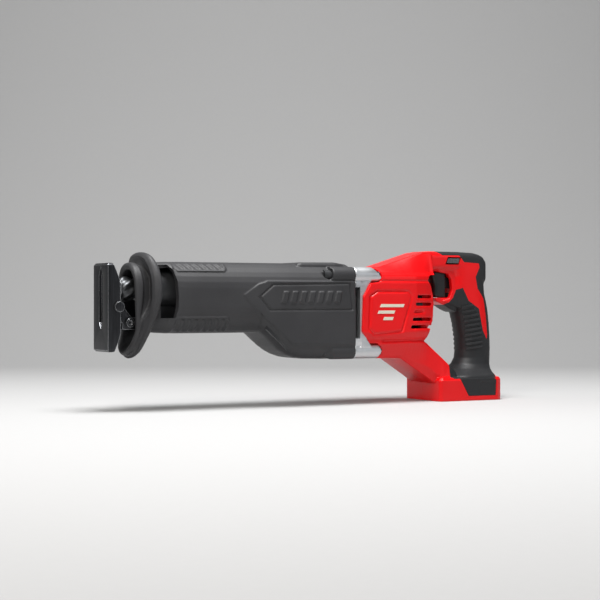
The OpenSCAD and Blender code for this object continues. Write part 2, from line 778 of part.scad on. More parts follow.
module drive_gear() color("#7c7f84") translate([0, 0, hub_z]) difference() {
    gear_x(gear_x, gear_x + gear_w, gear_teeth, 90);
    rod_x(gear_x - cut, gear_x + gear_w + cut, shaft_r);
}

// ---------------------------------------------------------------- armature

module armature_shaft() color("#b4b7bb") {
    rod_x(gear_x - 2, gx + 1, nose_axle_r, z = motor_z);
    rod_x(gx + 1, cap_end - 2.5, axle_r, z = motor_z);
}

module pinion() color("#6f7276") translate([0, 0, motor_z]) difference() {
    gear_x(gear_x - 1, gear_x + gear_w + 1, pinion_teeth, -90 + 180 / pinion_teeth);
    rod_x(gear_x - 1 - cut, gear_x + gear_w + 1 + cut, nose_axle_r);
}

module armature_core() color("#5c5c60") translate([0, 0, motor_z]) difference() {
    rod_x(can_x + 7, can_end - 9, armature_r);
    rod_x(can_x + 7 - cut, can_end - 9 + cut, axle_r);
    for (i = [0:9])
        rotate([36 * i, 0, 0]) translate([can_x + 6, -1.2, armature_r - 7])
            cube([motor_len, 2.4, 8]);
}

module armature_windings() color("#b8692a") {
    tube_x(can_x + 2, can_x + 7, armature_r - 2, axle_r, motor_z);
    tube_x(can_end - 9, can_end - 4, armature_r - 2, axle_r, motor_z);
    translate([0, 0, motor_z])
        for (i = [0:9])
            rotate([36 * i, 0, 0]) translate([can_x + 7, -1.1, armature_r - 6.9])
                cube([motor_len - 16, 2.2, 4.5]);
}

module commutator() color("#c07f3f") tube_x(can_end - 1, can_end + 9.5, comm_r, axle_r, motor_z);

module motor_fan() color("#d8d4c8") translate([0, 0, motor_z]) difference() {
    union() {
        rod_x(gx + 19, gx + 21, motor_r - 3);
        rod_x(gx + 19, gx + 31, 8);
        for (i = [0:10])
            rotate([i * 360 / 11, 0, 0]) translate([gx + 20, -1, 6]) cube([10, 2, motor_r - 9.5]);
    }
    rod_x(gx + 19 - cut, gx + 31 + cut, axle_r);
}

// ---------------------------------------------------------------- shoe

module shoe_bracket() color("#3b3d40") difference() {
    union() {
        for (side = [-1, 1])
            translate([0, side * (bracket_hw - 1.75), 0]) slab_y(-1.75, 1.75) hull() {
                translate([pivot_x, pivot_z]) circle(5, $fn = 32);
                translate([25, -34.5]) circle(6, $fn = 32);
            }
        block(18, 34, -bracket_hw, bracket_hw, -41, -29);
        block(30, post_end, -post_hw, post_hw, post_z0, post_z1);
    }
    rod_y(-bracket_hw - cut, bracket_hw + cut, pivot_r, pivot_x, pivot_z);
    rod_y(-bracket_hw - cut, bracket_hw + cut, 2.5, 25.5, -34);
}

module shoe_pivot_pin() color("#9b9ea2") {
    rod_y(-shoe_hw - 0.3, shoe_hw + 0.3, pivot_r, pivot_x, pivot_z);
    for (side = [-1, 1])
        translate([0, side * (shoe_hw + 1.1), 0]) rod_y(-0.8, 0.8, 5.2, pivot_x, pivot_z);
}

module bracket_screw() color("#2d2d2f") difference() {
    union() {
        rod_y(-bracket_hw, bracket_hw, 2.5, 25.5, -34);
        rod_y(-bracket_hw - 3, -bracket_hw, 4.6, 25.5, -34);
    }
    rod_y(-bracket_hw - 3 - cut, -bracket_hw - 0.8, 2.3, 25.5, -34, $fn = 6);
}

// side outline of one ear of the shoe
module ear_outline() polygon([[0, -shoe_drop + 2], [0, shoe_top - 2], [1.5, shoe_top], [5.5, shoe_top],
    [9.5, shoe_top - 9], [13, shoe_top - 18], [13.6, shoe_top - 40], [13.6, -shoe_drop + 20],
    [12, -shoe_drop + 13], [7, -shoe_drop], [1.5, -shoe_drop]]);

module shoe() color("#4a4c50") difference() {
    intersection() {
        slab_y(-shoe_hw, shoe_hw) ear_outline();
        // rounded corners of the face
        slab_x(-cut, 20) hull()
            for (y = [-shoe_hw + 4, shoe_hw - 4], z = [-shoe_drop + 4, shoe_top - 4])
                translate([y, z]) circle(4, $fn = 32);
    }
    block(shoe_t + 0.5, 20, -ear_in, ear_in, -shoe_drop + shoe_t, shoe_top - shoe_t);
    block(7, 20, -ear_in, ear_in, shoe_top - shoe_t - cut, shoe_top + cut);
    block(6, 20, -ear_in, ear_in, -shoe_drop - cut, -shoe_drop + shoe_t + cut);
    // blade slot with pointed ends
    slab_x(-cut, 8) polygon([[0, shoe_top - 3.5], [blade_hw, shoe_top - 12], [blade_hw, -34],
        [0, -40], [-blade_hw, -34], [-blade_hw, shoe_top - 12]]);
    rod_y(-shoe_hw - cut, shoe_hw + cut, pivot_r + run, pivot_x, pivot_z);
    // shallow seats for the heads of the pin
    for (side = [-1, 1])
        translate([0, side * (shoe_hw + 0.8), 0]) rod_y(-0.85, 0.85, 5.5, pivot_x, pivot_z);
}

// ---------------------------------------------------------------- controls

module trigger() color("#1b1d1f") {
    slab_y(-trigger_hw, trigger_hw) difference() {
        polygon([[gx + 114.5, 20.5], [gx + 114.5, 15], [gx + 123.5, -8.5], [gx + 134, -8.5], [gx + 134, 20.5]]);
        translate([gx + 105.5, 3.5]) circle(13.5);
    }
    // stem, bored so that it slides over the spring
    difference() {
        block(gx + 134, stem_x1, -5.5, 5.5, 2, 14);
        rod_x(stem_x1 - trigger_travel - 1, stem_x1 + cut, spring_r + 0.8, z = spring_z);
    }
}

module lock_button() color("#6b6d70") slab_y(-grip_hw + 0.5, grip_hw + 3) lock_outline(0);

front_boot();
spindle_housing();
gear_case();
gear_case_cover();
bulkhead();
gear_case_screws();
shell_left();
shell_right();
grip_overmold_left();
grip_overmold_right();
foot_pad_left();
foot_pad_right();
clamshell_screws();
terminal_block();
terminals();
switch_body();
switch_heat_sink();
motor_can();
motor_magnets();
motor_end_cap();
brush_holders();
brushes();
brush_springs();
motor_bearing_front();
motor_bearing_rear();
front_bushing();
rear_bushing();
spindle_seal();
wobble_bearing_front();
wobble_bearing_rear();
battery_leads();
motor_leads();
trigger_spring();
spindle();
drive_yoke();
clamp_body();
clamp_pin();
clamp_retaining_ring();
clamp_spring();
clamp_collar();
wobble_arm();
wobble_shaft();
wobble_hub();
drive_gear();
armature_shaft();
pinion();
armature_core();
armature_windings();
commutator();
motor_fan();
shoe_bracket();
shoe_pivot_pin();
bracket_screw();
shoe();
trigger();
lock_button();
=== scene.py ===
"""Looks of a cordless reciprocating saw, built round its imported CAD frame."""

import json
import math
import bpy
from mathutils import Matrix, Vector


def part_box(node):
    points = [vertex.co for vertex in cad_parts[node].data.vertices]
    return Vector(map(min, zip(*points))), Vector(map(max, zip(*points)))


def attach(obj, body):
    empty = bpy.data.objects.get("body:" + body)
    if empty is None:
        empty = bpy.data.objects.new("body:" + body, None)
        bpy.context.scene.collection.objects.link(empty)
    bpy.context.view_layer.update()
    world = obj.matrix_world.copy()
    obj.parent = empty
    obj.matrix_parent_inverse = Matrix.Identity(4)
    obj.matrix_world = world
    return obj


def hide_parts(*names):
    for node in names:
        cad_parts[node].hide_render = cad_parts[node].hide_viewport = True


bl_info = {
    "name": "Reciprocating saw looks",
    "version": (1, 0, 0),
    "blender": (4, 5, 0),
    "location": "3D View > Sidebar > Saw",
    "description": "Builds the boot, shells, grip, castings and finishes of a reciprocating saw",
    "category": "Object",
}

import bmesh
import bpy
import numpy as np
from bpy.props import FloatProperty, FloatVectorProperty, IntProperty, PointerProperty
from mathutils import Vector

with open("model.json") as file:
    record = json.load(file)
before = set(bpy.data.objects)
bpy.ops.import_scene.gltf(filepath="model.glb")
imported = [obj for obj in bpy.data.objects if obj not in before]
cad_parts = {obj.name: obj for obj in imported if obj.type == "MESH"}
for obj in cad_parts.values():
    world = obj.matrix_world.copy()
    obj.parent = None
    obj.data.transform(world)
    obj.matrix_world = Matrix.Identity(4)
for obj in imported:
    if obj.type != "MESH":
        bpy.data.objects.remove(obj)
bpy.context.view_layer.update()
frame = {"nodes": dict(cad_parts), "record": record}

MM = 0.001
SHARP = math.radians(38)
CAMERA_PLACE = (-0.5440, -1.4219, -0.0112)
CAMERA_TURN = math.radians(-28.5)


def low(node):
    """Lowest corner of a CAD node in millimetres."""
    return [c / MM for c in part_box(node)[0]]


def high(node):
    """Highest corner of a CAD node in millimetres."""
    return [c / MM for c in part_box(node)[1]]


# places that the frame gives, in millimetres along X (rearward), Y (side) and Z (up)
BOOT_END = high("front_boot")[0]
BARREL_TOP = 28.0
BARREL_LOW = -45.5
BELLY_LOW = low("front_boot")[2]
FOOT_LOW = low("shell_left")[2]
FOOT_FRONT = BOOT_END + 108.5
FOOT_REAR = BOOT_END + 195
FOOT_HALF = 36.3
PLATE_END = BOOT_END + 13
LOBE_Y = 27.0
LOBE_TOP_Z = 15.5
LOBE_LOW_Z = -66.5
# half the gap between the two shells
SEAM = 0.12
# a place past either side of the saw, for cuts that go right out
PAST_SIDE = 60
BOOT_WALL = 3.5
SIDES = ((-1, "left"), (1, "right"))


# ------------------------------------------------------------------ mesh tools


def mesh_object(name, points, faces):
    """A closed mesh object from points in millimetres."""
    mesh = bpy.data.meshes.new(name)
    mesh.from_pydata([(x * MM, y * MM, z * MM) for x, y, z in points], [], faces)
    work = bmesh.new()
    work.from_mesh(mesh)
    bmesh.ops.recalc_face_normals(work, faces=work.faces)
    work.to_mesh(mesh)
    work.free()
    made = bpy.data.objects.new(name, mesh)
    bpy.context.scene.collection.objects.link(made)
    return made


def loft(rings, ring_closed=False):
    """A solid through rings of points. A closed run of rings makes a solid with a hole through it."""
    count = len(rings[0])
    points = [p for ring in rings for p in ring]
    faces = []
    for i in range(len(rings) if ring_closed else len(rings) - 1):
        a, b = i * count, (i + 1) % len(rings) * count
        for k in range(count):
            n = (k + 1) % count
            faces.append((a + k, a + n, b + n, b + k))
    if not ring_closed:
        faces.append(tuple(range(count))[::-1])
        faces.append(tuple(range(len(points) - count, len(points))))
    return mesh_object("loft", points, faces)


def prism_y(outline, start=-PAST_SIDE, end=PAST_SIDE):
    """A side outline (X, Z) given thickness across Y, or right across the saw."""
    return loft([[(x, y, z) for x, z in outline] for y in (start, end)])


def prism_x(outline, start, end):
    """A front outline (Y, Z) given length along X."""
    return loft([[(x, y, z) for y, z in outline] for x in (start, end)])


def prism_z(outline, start, end):
    """A plan outline (X, Y) given height."""
    return loft([[(x, y, z) for x, y in outline] for z in (start, end)])


def span(side, near, far=PAST_SIDE):
    """Two places across Y on one side of the saw, the lower first."""
    return sorted((side * near, side * far))


def mirrored(x, half):
    """A section at X from its +Y half, listed from the top down."""
    return [(x, y, z) for y, z in half] + [(x, -y, z) for y, z in half[-2:0:-1]]


def block(x0, x1, y0, y1, z0, z1):
    """A box between two places along each axis."""
    return prism_z([(x0, y0), (x1, y0), (x1, y1), (x0, y1)], z0, z1)


def circle(radius, a=0.0, b=0.0, count=48):
    """A ring of points round (a, b)."""
    return [
        (a + radius * math.cos(math.tau * i / count), b + radius * math.sin(math.tau * i / count))
        for i in range(count)
    ]


def rod_x(start, end, radius, y, z):
    """A round bar along X."""
    return prism_x(circle(radius, y, z), start, end)


def rod_y(start, end, radius, x, z):
    """A round bar across Y."""
    return prism_y(circle(radius, x, z), start, end)


def round_box(half, bottom, top, radius, steps=7):
    """A rounded rectangle in the YZ plane."""
    r = min(radius, half - 0.1, (top - bottom) / 2 - 0.1)
    corners = [(half - r, top - r, 0), (-half + r, top - r, 90), (-half + r, bottom + r, 180),
        (half - r, bottom + r, 270)]
    return [
        (y + r * math.cos(math.radians(turn + 90 * i / steps)),
        z + r * math.sin(math.radians(turn + 90 * i / steps)))
        for y, z, turn in corners
        for i in range(steps + 1)
    ]


def oval(x0, x1, half, power, count=44):
    """A rounded oval in the XY plane. A higher power makes it squarer."""
    middle, reach = (x0 + x1) / 2, (x1 - x0) / 2
    ring = []
    for i in range(count):
        c, s = math.cos(math.tau * i / count), math.sin(math.tau * i / count)
        ring.append(
            (
                middle + reach * math.copysign(abs(c) ** (2 / power), c),
                half * math.copysign(abs(s) ** (2 / power), s),
            )
        )
    return ring


def loft_x(stations, out=0.0):
    """A solid along X through stations (x, half width, bottom, top, corner radius), grown by out."""
    return loft(
        [
            [(x, y, z) for y, z in round_box(half + out, bottom - out, top + out, radius + out)]
            for x, half, bottom, top, radius in stations
        ]
    )


def smooth_ring(half_points, count=64):
    """A closed outline, mirrored about Y = 0, that runs smoothly through the points of its +Y half."""
    left = [(-y, z) for y, z in half_points[-2:0:-1]]
    ring = np.array(list(half_points) + left, float)
    n = len(ring)
    points = []
    for i in range(count):
        t = i * n / count
        k, f = int(t), t - int(t)
        p0, p1, p2, p3 = (ring[(k + j) % n] for j in (-1, 0, 1, 2))
        points.append(
            0.5 * (2 * p1 + (p2 - p0) * f + (2 * p0 - 5 * p1 + 4 * p2 - p3) * f**2
                + (3 * p1 - p0 - 3 * p2 + p3) * f**3)
        )
    return [(float(y), float(z)) for y, z in points]


def along(table, value):
    """The value that a short table of (place, amount) pairs gives at a place."""
    return float(np.interp(value, [p for p, _ in table], [a for _, a in table]))


def settle(made):
    """Applies the object's modifiers to its mesh."""
    graph = bpy.context.evaluated_depsgraph_get()
    mesh = bpy.data.meshes.new_from_object(made.evaluated_get(graph))
    old = made.data
    made.modifiers.clear()
    made.data = mesh
    bpy.data.meshes.remove(old)
    return made


def discard(made):
    """Removes a helper object and its mesh."""
    mesh = made.data
    bpy.data.objects.remove(made)
    bpy.data.meshes.remove(mesh)


def combine(target, tools, operation):
    """Adds, cuts or intersects solids, and stops if one of them had no effect."""
    for tool in tools:
        before = len(target.data.polygons)
        modifier = target.modifiers.new("combine", "BOOLEAN")
        modifier.operation = operation
        modifier.solver = "MANIFOLD"
        modifier.object = tool
        bpy.context.view_layer.update()
        settle(target)
        if len(target.data.polygons) == 0:
            raise RuntimeError(f"{target.name} vanished in {operation}")
        if operation != "INTERSECT" and len(target.data.polygons) == before:
            raise RuntimeError(f"{operation} of {tool.name} leaves {target.name} as it was")
        discard(tool)
    return target


def cut(target, *tools):
    """Takes solids away from the target."""
    return combine(target, tools, "DIFFERENCE")


def keep(target, *tools):
    """Leaves only what the target shares with each solid."""
    return combine(target, tools, "INTERSECT")


def add(target, *tools):
    """Fuses solids to the target."""
    return combine(target, tools, "UNION")


def join(parts):
    """One object that holds every part's faces."""
    work = bmesh.new()
    for part in parts:
        work.from_mesh(part.data)
    work.to_mesh(parts[0].data)
    work.free()
    for part in parts[1:]:
        discard(part)
    return parts[0]


def melt(parts, voxel, rounds):
    """Fuses overlapping solids into one skin and rounds its edges."""
    body = join(parts)
    remesh = body.modifiers.new("skin", "REMESH")
    remesh.mode = "VOXEL"
    remesh.voxel_size = voxel * MM * 1
    soften = body.modifiers.new("soften", "SMOOTH")
    soften.factor = 0.5
    soften.iterations = rounds
    return settle(body)


def copy_of(made):
    """A second object with a mesh of its own."""
    other = made.copy()
    other.data = made.data.copy()
    bpy.context.scene.collection.objects.link(other)
    return other


def finish_piece(made, name, body, slot, *nodes):
    """Names a piece, shades it, gives it its slot's finish, hands it to its body and hides the CAD nodes it
    stands for.
    """
    made.name = name
    made.data.name = name
    mesh = made.data
    mesh.shade_smooth()
    mesh.set_sharp_from_angle(angle=SHARP)
    mesh.materials.clear()
    mesh.materials.append(finish_for(slot))
    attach(made, body)
    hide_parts(*nodes)
    return made


def half_space(side, reach=300):
    """A block that holds one side of the mid plane, short of it by the seam."""
    y0, y1 = (SEAM, 100) if side > 0 else (-100, -SEAM)
    return block(-reach, 2 * reach, y0, y1, -reach, reach)


def refine(node, body, slot, width, segments=2):
    """A CAD node's own shape with its edges broken, as a new piece."""
    made = bpy.data.objects.new(node + "_finished", frame["nodes"][node].data.copy())
    bpy.context.scene.collection.objects.link(made)
    work = bmesh.new()
    work.from_mesh(made.data)
    bmesh.ops.remove_doubles(work, verts=work.verts, dist=0.002 * MM)
    bmesh.ops.dissolve_limit(work, angle_limit=math.radians(1), verts=work.verts, edges=work.edges)
    edges = [e for e in work.edges if len(e.link_faces) == 2 and e.calc_face_angle(0) > math.radians(30)]
    bmesh.ops.bevel(
        work, geom=edges, offset=width * MM, segments=segments, profile=0.6, affect="EDGES",
        clamp_overlap=True
    )
    work.to_mesh(made.data)
    work.free()
    return finish_piece(made, node + "_finished", body, slot, node)


# ------------------------------------------------------------------ finishes


def linear(code):
    """An sRGB hex colour as linear red, green and blue."""
    parts = [int(code[i : i + 2], 16) / 255 for i in (0, 2, 4)]
    return [c / 12.92 if c <= 0.04045 else ((c + 0.055) / 1.055) ** 2.4 for c in parts]


def per_mm(size):
    """A pattern's scale for features of a size in millimetres."""
    return 1 / (size * MM)


def add_node(tree, kind, settings=None, links=None):
    """One node with its settings (sockets by name or number, or properties) and the sockets that feed it."""
    node = tree.nodes.new(kind)
    for key, value in (settings or {}).items():
        if isinstance(key, int) or key in node.inputs:
            node.inputs[key].default_value = value
        else:
            setattr(node, key, value)
    for key, socket in (links or {}).items():
        tree.links.new(socket, node.inputs[key])
    return node


def start_material(name, settings):
    """A material with one principled shader, whose plain values stand on its own sockets."""
    material = bpy.data.materials.new(name)
    material.use_nodes = True
    tree = material.node_tree
    tree.nodes.clear()
    shader = add_node(tree, "ShaderNodeBsdfPrincipled", settings)
    add_node(tree, "ShaderNodeOutputMaterial", None, {"Surface": shader.outputs[0]})
    place = add_node(tree, "ShaderNodeTexCoord").outputs["Object"]
    return material, tree, shader, place


def two_tone(tree, factor, dark, light):
    """A colour that runs between two hex colours."""
    mix = add_node(
        tree,
        "ShaderNodeMix",
        {"data_type": "RGBA", 6: (*linear(dark), 1), 7: (*linear(light), 1)},
        {0: factor},
    )
    return mix.outputs[2]


def ranged(tree, value, start, end, to_start, to_end):
    """A value moved from one range into another."""
    node = add_node(
        tree,
        "ShaderNodeMapRange",
        {"From Min": start, "From Max": end, "To Min": to_start, "To Max": to_end},
        {"Value": value},
    )
    return node.outputs[0]


def toward_edge_colour(tree, colour, pale_edge, amount):
    """A colour that turns to its pale edge colour by an amount."""
    mix = add_node(
        tree, "ShaderNodeMix", {"data_type": "RGBA", 7: (*linear(pale_edge), 1)}, {0: amount, 6: colour}
    )
    return mix.outputs[2]


def dress(tree, shader, colour, rough, height, strength, relief):
    """Gives a shader its colour, its roughness, and a relief whose depth is in millimetres."""
    tree.links.new(colour, shader.inputs["Base Color"])
    tree.links.new(rough, shader.inputs["Roughness"])
    bump = add_node(tree, "ShaderNodeBump", {"Strength": strength, "Distance": relief * MM},
        {"Height": height})
    tree.links.new(bump.outputs[0], shader.inputs["Normal"])


def moulded(name, dark, light, rough, grain, relief, pale_edge=None, extra=None):
    """Moulded plastic or rubber: a fine spark-eroded grain, faint clouding and paler edges."""
    material, tree, shader, place = start_material(name, {"IOR": 1.52, **(extra or {})})
    clouds = add_node(tree, "ShaderNodeTexNoise", {"Scale": per_mm(55), "Detail": 3.0}, {"Vector": place})
    fine = add_node(tree, "ShaderNodeTexNoise", {"Scale": per_mm(grain), "Detail": 2.0}, {"Vector": place})
    colour = two_tone(tree, ranged(tree, clouds.outputs[0], 0.35, 0.65, 0, 1), dark, light)
    if pale_edge:
        edge = add_node(tree, "ShaderNodeNewGeometry").outputs["Pointiness"]
        colour = toward_edge_colour(tree, colour, pale_edge, ranged(tree, edge, 0.53, 0.62, 0, 0.55))
    dress(tree, shader, colour, ranged(tree, fine.outputs[0], 0.3, 0.7, rough - 0.06, rough + 0.08),
        fine.outputs[0], 0.5, relief)
    return material


def cast(name, dark, light, rough, grain, relief, metallic=1.0):
    """Die-cast metal, bead blasted: fine pits and slow stains that break up its shine."""
    material, tree, shader, place = start_material(name, {"Metallic": metallic})
    pits = add_node(tree, "ShaderNodeTexNoise", {"Scale": per_mm(grain), "Detail": 4.0}, {"Vector": place})
    stains = add_node(tree, "ShaderNodeTexNoise", {"Scale": per_mm(30), "Detail": 3.0}, {"Vector": place})
    colour = two_tone(tree, ranged(tree, stains.outputs[0], 0.3, 0.7, 0, 1), dark, light)
    dress(tree, shader, colour, ranged(tree, stains.outputs[0], 0.3, 0.7, rough - 0.05, rough + 0.08),
        pits.outputs[0], 0.4, relief)
    return material


def machined(name, dark, light, rough, lay, metallic=1.0, pale_edge=None):
    """Worked metal: tool marks drawn out one way, and bright edges that are partly where the coat is rubbed
    off and partly a painted highlight.
    """
    material, tree, shader, place = start_material(name, {"Metallic": metallic})
    stretched = add_node(tree, "ShaderNodeMapping", {"Scale": lay}, {"Vector": place})
    marks = add_node(
        tree, "ShaderNodeTexNoise", {"Scale": per_mm(1.2), "Detail": 3.0}, {"Vector": stretched.outputs[0]}
    )
    colour = two_tone(tree, ranged(tree, marks.outputs[0], 0.3, 0.7, 0, 1), dark, light)
    # the bright edge colour is partly rubbed wear and partly a painted highlight along the edges
    if pale_edge:
        edge = add_node(tree, "ShaderNodeBevel", {"samples": 4, "Radius": 0.9 * MM})
        across = add_node(tree, "ShaderNodeNewGeometry").outputs["Normal"]
        bend = add_node(
            tree, "ShaderNodeVectorMath", {"operation": "DOT_PRODUCT"}, {0: edge.outputs[0], 1: across}
        ).outputs["Value"]
        colour = toward_edge_colour(tree, colour, pale_edge, ranged(tree, bend, 0.995, 0.93, 0, 0.8))
    dress(tree, shader, colour, ranged(tree, marks.outputs[0], 0.3, 0.7, rough - 0.05, rough + 0.08),
        marks.outputs[0], 0.25, 0.02)
    return material


def banded(name, dark, light, rough, pitch, metallic):
    """Stacked or wound metal: thin bands that follow one another along the X axis."""
    material, tree, shader, place = start_material(name, {"Metallic": metallic})
    bands = add_node(
        tree,
        "ShaderNodeTexWave",
        {"bands_direction": "X", "Scale": per_mm(pitch) / math.tau, "Distortion": 0.4},
        {"Vector": place},
    )
    colour = two_tone(tree, bands.outputs[1], dark, light)
    dress(tree, shader, colour, ranged(tree, bands.outputs[1], 0, 1, rough, rough + 0.15),
        bands.outputs[1], 0.5, 0.15)
    return material


ALL_WAYS = (1, 1, 1)
ALONG_X = (0.06, 1, 1)
ALONG_Z = (1, 1, 0.05)

# the record's slots, each with the way its finish is made
FINISHES = {
    # thermoplastic rubber, moulded: matt and deep grey, with a soft broad highlight
    "boot_rubber": (moulded, "tpe_rubber_moulded_grey", "2b2b2d", "323234", 0.56, 0.9, 0.12, "464648",
        {"Specular IOR Level": 0.42}),
    # glass-filled nylon, moulded: saturated and half glossy over a fine grain
    "red_nylon": (moulded, "nylon_glass_filled_red", "d80208", "e0040a", 0.34, 0.8, 0.045, "f01a1e",
        {"Specular IOR Level": 0.34}),
    # soft thermoplastic rubber over the grip: near black, matt
    "grip_rubber": (moulded, "tpe_rubber_overmould_black", "1a1b1d", "202123", 0.52, 0.8, 0.1, "343537",
        {"Specular IOR Level": 0.4}),
    # black nylon, moulded: dark and slightly shiny
    "black_plastic": (moulded, "nylon_moulded_black", "0f1011", "151617", 0.36, 0.7, 0.04, "222324", None),
    # grey nylon of the lock button: a shade paler than the rubber round it
    "grey_plastic": (moulded, "nylon_moulded_grey", "4c4d4f", "555658", 0.42, 0.7, 0.04, "66686a", None),
    # natural nylon: waxy off-white
    "fan_nylon": (moulded, "nylon_natural", "cfc8b4", "dcd5c2", 0.42, 0.9, 0.04, None,
        {"Subsurface Weight": 0.05}),
    # lead covers: smooth, with a soft shine
    "red_lead": (moulded, "pvc_lead_red", "a01216", "b0161a", 0.38, 1.2, 0.03, None, None),
    "black_lead": (moulded, "pvc_lead_black", "131314", "1a1a1b", 0.38, 1.2, 0.03, None, None),
    # magnesium casting under black enamel: dark, fine orange peel
    "black_casting": (cast, "magnesium_cast_black_enamel", "2c2d2f", "3a3b3d", 0.42, 1.6, 0.06, 0.35),
    # aluminium casting, bead blasted: pale satin grey with slow stains
    "silver_casting": (cast, "aluminium_cast_blasted", "b9bbbd", "cfd1d3", 0.38, 0.9, 0.08, 0.85),
    # sintered magnets and brushes: dull and dark, with a dry grain
    "magnet": (cast, "ferrite_sintered", "2e2e30", "3a3a3c", 0.6, 1.0, 0.1, 0.2),
    "carbon": (cast, "graphite_pressed", "1c1c1d", "282829", 0.55, 1.0, 0.08, 0.1),
    # black oxide steel: dark satin with bright edges, partly rubbed wear and partly a painted edge highlight
    "dark_steel": (machined, "steel_black_oxide", "2c2d2f", "36373a", 0.34, ALONG_Z, 0.8, "c4c6c9"),
    # bright plated, ground and forged steel: pale and clean, down to grey with turned marks; the forged
    # steel's pale edges are partly rubbed wear and partly a painted edge highlight
    "plated_steel": (machined, "steel_zinc_plated", "a8aaad", "b8babd", 0.3, ALL_WAYS, 1.0, None),
    "bearing_steel": (machined, "steel_ground", "b4b6b9", "c4c6c9", 0.18, ALONG_X, 1.0, None),
    "forged_steel": (machined, "steel_forged_machined", "4b4c4e", "5c5e60", 0.4, ALONG_X, 0.9, "9a9c9e"),
    # brass, bronze and copper: yellow, brown and red metal with soft marks
    "brass": (machined, "brass_stamped", "b98f45", "c79c50", 0.3, ALL_WAYS, 1.0, None),
    "bronze": (machined, "bronze_sintered", "8f6233", "9c6e3c", 0.42, ALL_WAYS, 1.0, None),
    "copper": (machined, "copper_turned", "b56a45", "c27650", 0.28, ALONG_X, 1.0, None),
    # steel laminations and enamelled wire: fine bands, drawn coarser than real so that they show
    "lamination_steel": (banded, "steel_laminated", "5a5b5e", "8a8b8e", 0.35, 0.8, 1.0),
    "copper_wire": (banded, "copper_wire_enamelled", "6e2d12", "b05a2c", 0.28, 1.2, 0.7),
}
made_finishes = {}


def finish_for(slot):
    """The material of a slot, made at its first use."""
    if slot not in made_finishes:
        way, *settings = FINISHES[slot]
        made_finishes[slot] = way(*settings)
    return made_finishes[slot]


# ------------------------------------------------------------------ boot

# stations of the barrel: place, half width, bottom, top, corner radius
BARREL = [
    (60, 34.2, -44.8, 27.2, 23),
    (70, 35, -45.3, 27.8, 26),
    (80, 35.4, BARREL_LOW, BARREL_TOP, 27),
    (BOOT_END - 1.5, 35.4, BARREL_LOW, BARREL_TOP, 27),
    (BOOT_END, 34.8, BARREL_LOW + 0.8, BARREL_TOP - 0.8, 26.5),
]
# underside of the gear belly from its front to the rear of the boot
BELLY_CURVE = [(BOOT_END - 112, -42), (BOOT_END - 107, -45.4), (BOOT_END - 100, -51),
    (BOOT_END - 90.5, -60.2),
    (BOOT_END - 83, -65.6), (BOOT_END - 75.5, -69.4), (BOOT_END - 67, -72.2), (BOOT_END - 57, -73.7),
    (BOOT_END - 34, -74.3),
    (BOOT_END, BELLY_LOW)]
# side panel that stands proud of the barrel, and the arrow-shaped groove in it
CREASE = [(143, -6), (168, -30), (200, -57.5), (BOOT_END - 1, -58.5), (BOOT_END - 1, 8.5), (171, 8.5),
    (160, 5)]
ARROW = [(163.5, -8), (178, 3.6), (268.5, 5.2), (271.5, -20.2), (174, -20.2)]
ARROW_GROOVE = [(159.6, -8), (176.8, 6.3), (270.8, 7.9), (274.2, -22.6), (172.6, -22.6)]

# half outlines of the hand guard seen from the front, each from its top down
GUARD_RIM = [(0, 37.6), (13, 36.4), (23, 33.2), (30, 26), (36, 14), (38.6, 0), (38.4, -16), (34.6, -34),
    (30, -50),
    (20.5, -64.5), (0, -70.6)]
NOSE_WALL = [(0, 27), (9, 26), (17.5, 20.8), (23, 11), (24.6, -3), (24.4, -19), (23.4, -36), (21.5, -51),
    (15.5, -62.5),
    (0, -68)]
MOUTH_EDGE = [(0, 19.6), (6.5, 18.8), (12.5, 15.2), (17.2, 8), (18.4, -3), (18.3, -17), (17.8, -32),
    (15.6, -46),
    (10.5, -57), (0, -61.5)]
THROAT = [(0, 19.2), (6, 18), (12, 14.5), (16.5, 8), (17.8, -3), (17.6, -17), (17, -30), (15.5, -38),
    (12.5, -42.5), (5, -44),
    (0, -44.5)]
# at each height: where the lip, the rim's inner edge and the guard's back stand along X, and the dish's depth
LIP_X = [(-66, 22.6), (-58, 24.2), (-50, 27), (-43, 29), (-33, 28.8), (-11, 28), (2, 27.6), (12, 27),
    (20, 26.6), (27, 27)]
RIM_X = [(-70, 27), (-58, 30), (-45, 34), (-28, 38.5), (-11, 41), (6, 41.5), (20, 40.5), (30, 38.5),
    (37.4, 36.5)]
BACK_X = [(-70, 33), (-58, 36), (-48, 39.5), (-40, 42.5), (-28, 47), (-11, 51), (6, 52), (20, 50.5),
    (30, 48),
    (37.4, 46)]
DISH = [(-70, 0), (-30, 0.05), (-21, 0.7), (-10, 1), (10, 1), (18, 0.75), (25, 0.4), (38, 0.3)]


def scaled(ring, y_share, z_share, z_middle=-16):
    """A front outline made smaller about its middle."""
    return [(y * y_share, z_middle + (z - z_middle) * z_share) for y, z in ring]


